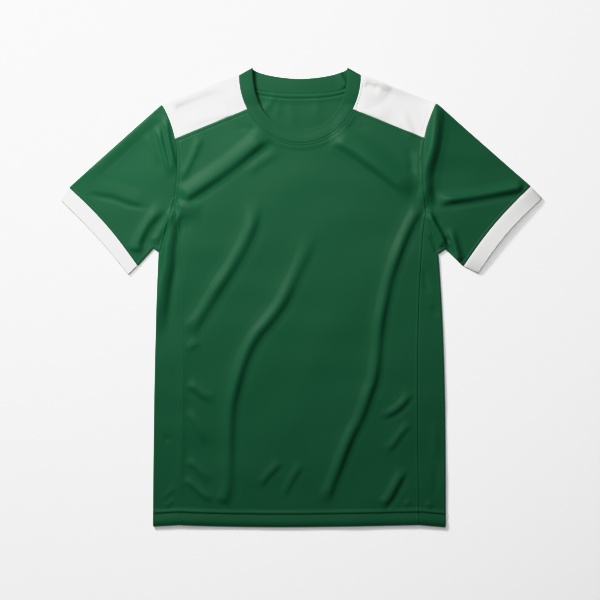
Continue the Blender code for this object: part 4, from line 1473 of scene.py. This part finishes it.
class JERSEY_OT_collar(bpy.types.Operator):
    """Set the rib band round the neck"""

    bl_idname = "jersey.collar"
    bl_label = "Collar"

    def execute(self, context):
        angles = np.linspace(0.0, 2 * math.pi, COLLAR_SECTION, endpoint=False)
        shares = 0.5 - 0.5 * powered(np.cos(angles), COLLAR_ROUND)
        half = COLLAR_WALL / 2
        walls = half * powered(np.sin(angles), COLLAR_FULL)
        steps = np.linspace(0.0, NECK_STEPS, NECK_STEPS * COLLAR_STATIONS + 1)

        def band(which, at, height, up):
            """Sections along the front or the back of the neck."""
            outer, inner = neck_points(which + "_seam", at), neck_points(which + "_free", at)
            outer = outer + unit(outer - inner) * COLLAR_OVERLAP
            places = (outer[:, None] + (inner - outer)[:, None] * shares[:, None]).reshape(-1, 2)
            heights = height(places) + up * np.tile(walls, len(at))
            return list(np.column_stack((places, heights)).reshape(len(at), COLLAR_SECTION, 3))

        def turned_over(first, last, sign):
            """Sections from one to another, round the shoulder."""
            out = leftward(sign * (first[COLLAR_SECTION // 2, :2] - first[0, :2]))
            rows = []
            for angle in math.pi * np.arange(1, TURN_STEPS) / TURN_STEPS:
                share = (1 - math.cos(angle)) / 2
                row = first * (1 - share) + last * share
                row[:, :2] += out * ((TURN - half + walls) * math.sin(angle))[:, None]
                rows.append(row)
            return rows

        def front_height(points):
            return top_height(points) - CLOTH + half

        def back_height(points):
            return half + sum(fold_height(fold, points) for fold in COLLAR_FOLDS)

        front = band("front", steps, front_height, 1)
        back = band("back", steps[::-1], back_height, -1)
        sections = [*front, *turned_over(front[-1], back[0], -1), *back, *turned_over(back[-1], front[0], 1)]
        lengths = [np.linalg.norm(b[0] - a[0]) for a, b in zip(sections, sections[1:] + sections[:1])]
        stations = np.concatenate(([0.0], np.cumsum(lengths)))
        depths = COLLAR_DEPTH * shares
        faces, corners = [], []
        for i, (near, far) in enumerate(zip(stations, stations[1:])):
            a, b = i * COLLAR_SECTION, (i + 1) % len(sections) * COLLAR_SECTION
            for j in range(COLLAR_SECTION):
                k = (j + 1) % COLLAR_SECTION
                faces.append((a + j, a + k, b + k, b + j))
                corners += [(near, depths[j]), (near, depths[k]), (far, depths[k]), (far, depths[j])]
        mesh = new_mesh("collar", np.concatenate(sections), faces)
        lay_grain(mesh, corners)
        dress("collar", mesh, green_rib(), COLLAR_FLAT, COLLAR_AREA)
        return {"FINISHED"}


# The ground, the light and the camera

# How bright the scene's light shows: even up to the greens' own brightness, and gentle above it
TONE = (
    (0.15, 0.15), (0.27, 0.29), (0.40, 0.59), (0.50, 0.77), (0.60, 0.845), (0.70, 0.875), (0.92, 0.915),
    (1.20, 0.940),
)
TONE_WHITE, TONE_END = 2.0, 0.96
ALL_CHANNELS = 3  # which of the tone's curves goes for red, green and blue together

# Round soft lights: where each hangs, the point of the ground that it faces, its width and its power
LAMPS = (
    ("key_light", (-0.72, 0.90, 0.90), (0.0, 0.0), 0.36, 17.8),
    ("soft_box", (-0.15, 0.75, 1.25), (0.0, 1.2), 1.30, 4.8),
)
LIGHT_COLOUR = (1.0, 0.995, 0.985)
SKY_COLOUR, SKY_STRENGTH = (0.95, 0.97, 1.0, 1.0), 0.05

FLOOR_HALF, FLOOR_SQUARES = 3.0, 24  # half its width, and squares along each side
FLOOR_DROP = 0.0001  # how far it lies below the jersey
FLOOR_GLOSS, FLOOR_ROUGHNESS = 0.1, 0.9
FLOOR_GLOW = 0.27  # the ground is a lit table, which keeps the shadows pale
VIEW_WIDTH = 0.945
VIEW_DOWN = 0.0047  # how far the camera stands from the middle, towards the hem
LENS = 100.0
SENSOR = 36.0


class JERSEY_OT_stage(bpy.types.Operator):
    """Lay the ground, light it and look straight down"""

    bl_idname = "jersey.stage"
    bl_label = "Stage"

    def execute(self, context):
        scene = context.scene
        across = FLOOR_SQUARES + 1
        steps = np.linspace(-FLOOR_HALF, FLOOR_HALF, across)
        x, y = np.meshgrid(steps, steps)
        points = np.column_stack((x.ravel(), y.ravel(), np.full(x.size, -FLOOR_DROP)))
        corners = [row * across + i for row in range(FLOOR_SQUARES) for i in range(FLOOR_SQUARES)]
        faces = [(at, at + 1, at + across + 1, at + across) for at in corners]
        mesh = new_mesh("floor", points, faces)
        floor = bpy.data.objects.new("floor", mesh)
        scene.collection.objects.link(floor)
        material = bpy.data.materials.new("pale ground")
        material.use_nodes = True
        shader = material.node_tree.nodes["Principled BSDF"]
        for socket, value in (
            ("Base Color", (*scene.jersey_colours.floor, 1.0)),
            ("Roughness", FLOOR_ROUGHNESS),
            ("Specular IOR Level", FLOOR_GLOSS),
            ("Emission Color", (1.0, 1.0, 1.0, 1.0)),
            ("Emission Strength", FLOOR_GLOW),
        ):
            shader.inputs[socket].default_value = value
        mesh.materials.append(material)

        for lamp in LAMPS:
            self.hang(*lamp)
        world = bpy.data.worlds.new("studio")
        world.use_nodes = True
        background = world.node_tree.nodes["Background"]
        background.inputs["Color"].default_value = SKY_COLOUR
        background.inputs["Strength"].default_value = SKY_STRENGTH
        scene.world = world

        lens = bpy.data.cameras.new("camera")
        lens.lens, lens.sensor_width = LENS, SENSOR
        camera = bpy.data.objects.new("camera", lens)
        camera.location = (0.0, -VIEW_DOWN, VIEW_WIDTH * LENS / SENSOR)
        scene.collection.objects.link(camera)
        scene.camera = camera

        view = scene.view_settings
        view.view_transform = "Standard"
        view.use_curve_mapping = True
        tone = view.curve_mapping
        tone.white_level = (TONE_WHITE,) * 3
        curve = tone.curves[ALL_CHANNELS]
        for at, value in TONE:
            curve.points.new(at / TONE_WHITE, value)
        curve.points[-1].location.y = TONE_END
        for point in curve.points:
            point.handle_type = "AUTO_CLAMPED"
        tone.update()
        return {"FINISHED"}

    def hang(self, name, at, aim, size, power):
        """A round soft light that faces a point of the ground."""
        light = bpy.data.lights.new(name, "AREA")
        light.shape, light.size = "DISK", size
        light.energy, light.color = power, LIGHT_COLOUR
        lamp = bpy.data.objects.new(name, light)
        lamp.location = at
        lamp.rotation_mode = "QUATERNION"
        lamp.rotation_quaternion = (Vector((*aim, 0.0)) - Vector(at)).to_track_quat("-Z", "Y")
        bpy.context.scene.collection.objects.link(lamp)


OPERATORS = (
    JERSEY_OT_back,
    JERSEY_OT_front,
    JERSEY_OT_side_panels,
    JERSEY_OT_yokes,
    JERSEY_OT_sleeves,
    JERSEY_OT_cuffs,
    JERSEY_OT_collar,
    JERSEY_OT_stage,
)


class JERSEY_PT_panel(bpy.types.Panel):
    bl_idname = "JERSEY_PT_panel"
    bl_label = "Volleyball Jersey"
    bl_space_type = "VIEW_3D"
    bl_region_type = "UI"
    bl_category = "Jersey"

    def draw(self, context):
        for values in (context.scene.jersey_sizes, context.scene.jersey_colours):
            box = self.layout.box()
            for name in values.__annotations__:
                box.prop(values, name)
        for operator in OPERATORS:
            self.layout.operator(operator.bl_idname)


CLASSES = (JerseySizes, JerseyColours, *OPERATORS, JERSEY_PT_panel)


def register():
    for made in CLASSES:
        bpy.utils.register_class(made)
    bpy.types.Scene.jersey_sizes = PointerProperty(type=JerseySizes)
    bpy.types.Scene.jersey_colours = PointerProperty(type=JerseyColours)


def unregister():
    del bpy.types.Scene.jersey_sizes
    del bpy.types.Scene.jersey_colours
    for made in reversed(CLASSES):
        bpy.utils.unregister_class(made)


def main():
    register()
    for operator in OPERATORS:
        group, name = operator.bl_idname.split(".")
        getattr(getattr(bpy.ops, group), name)()


if __name__ == "__main__":
    main()
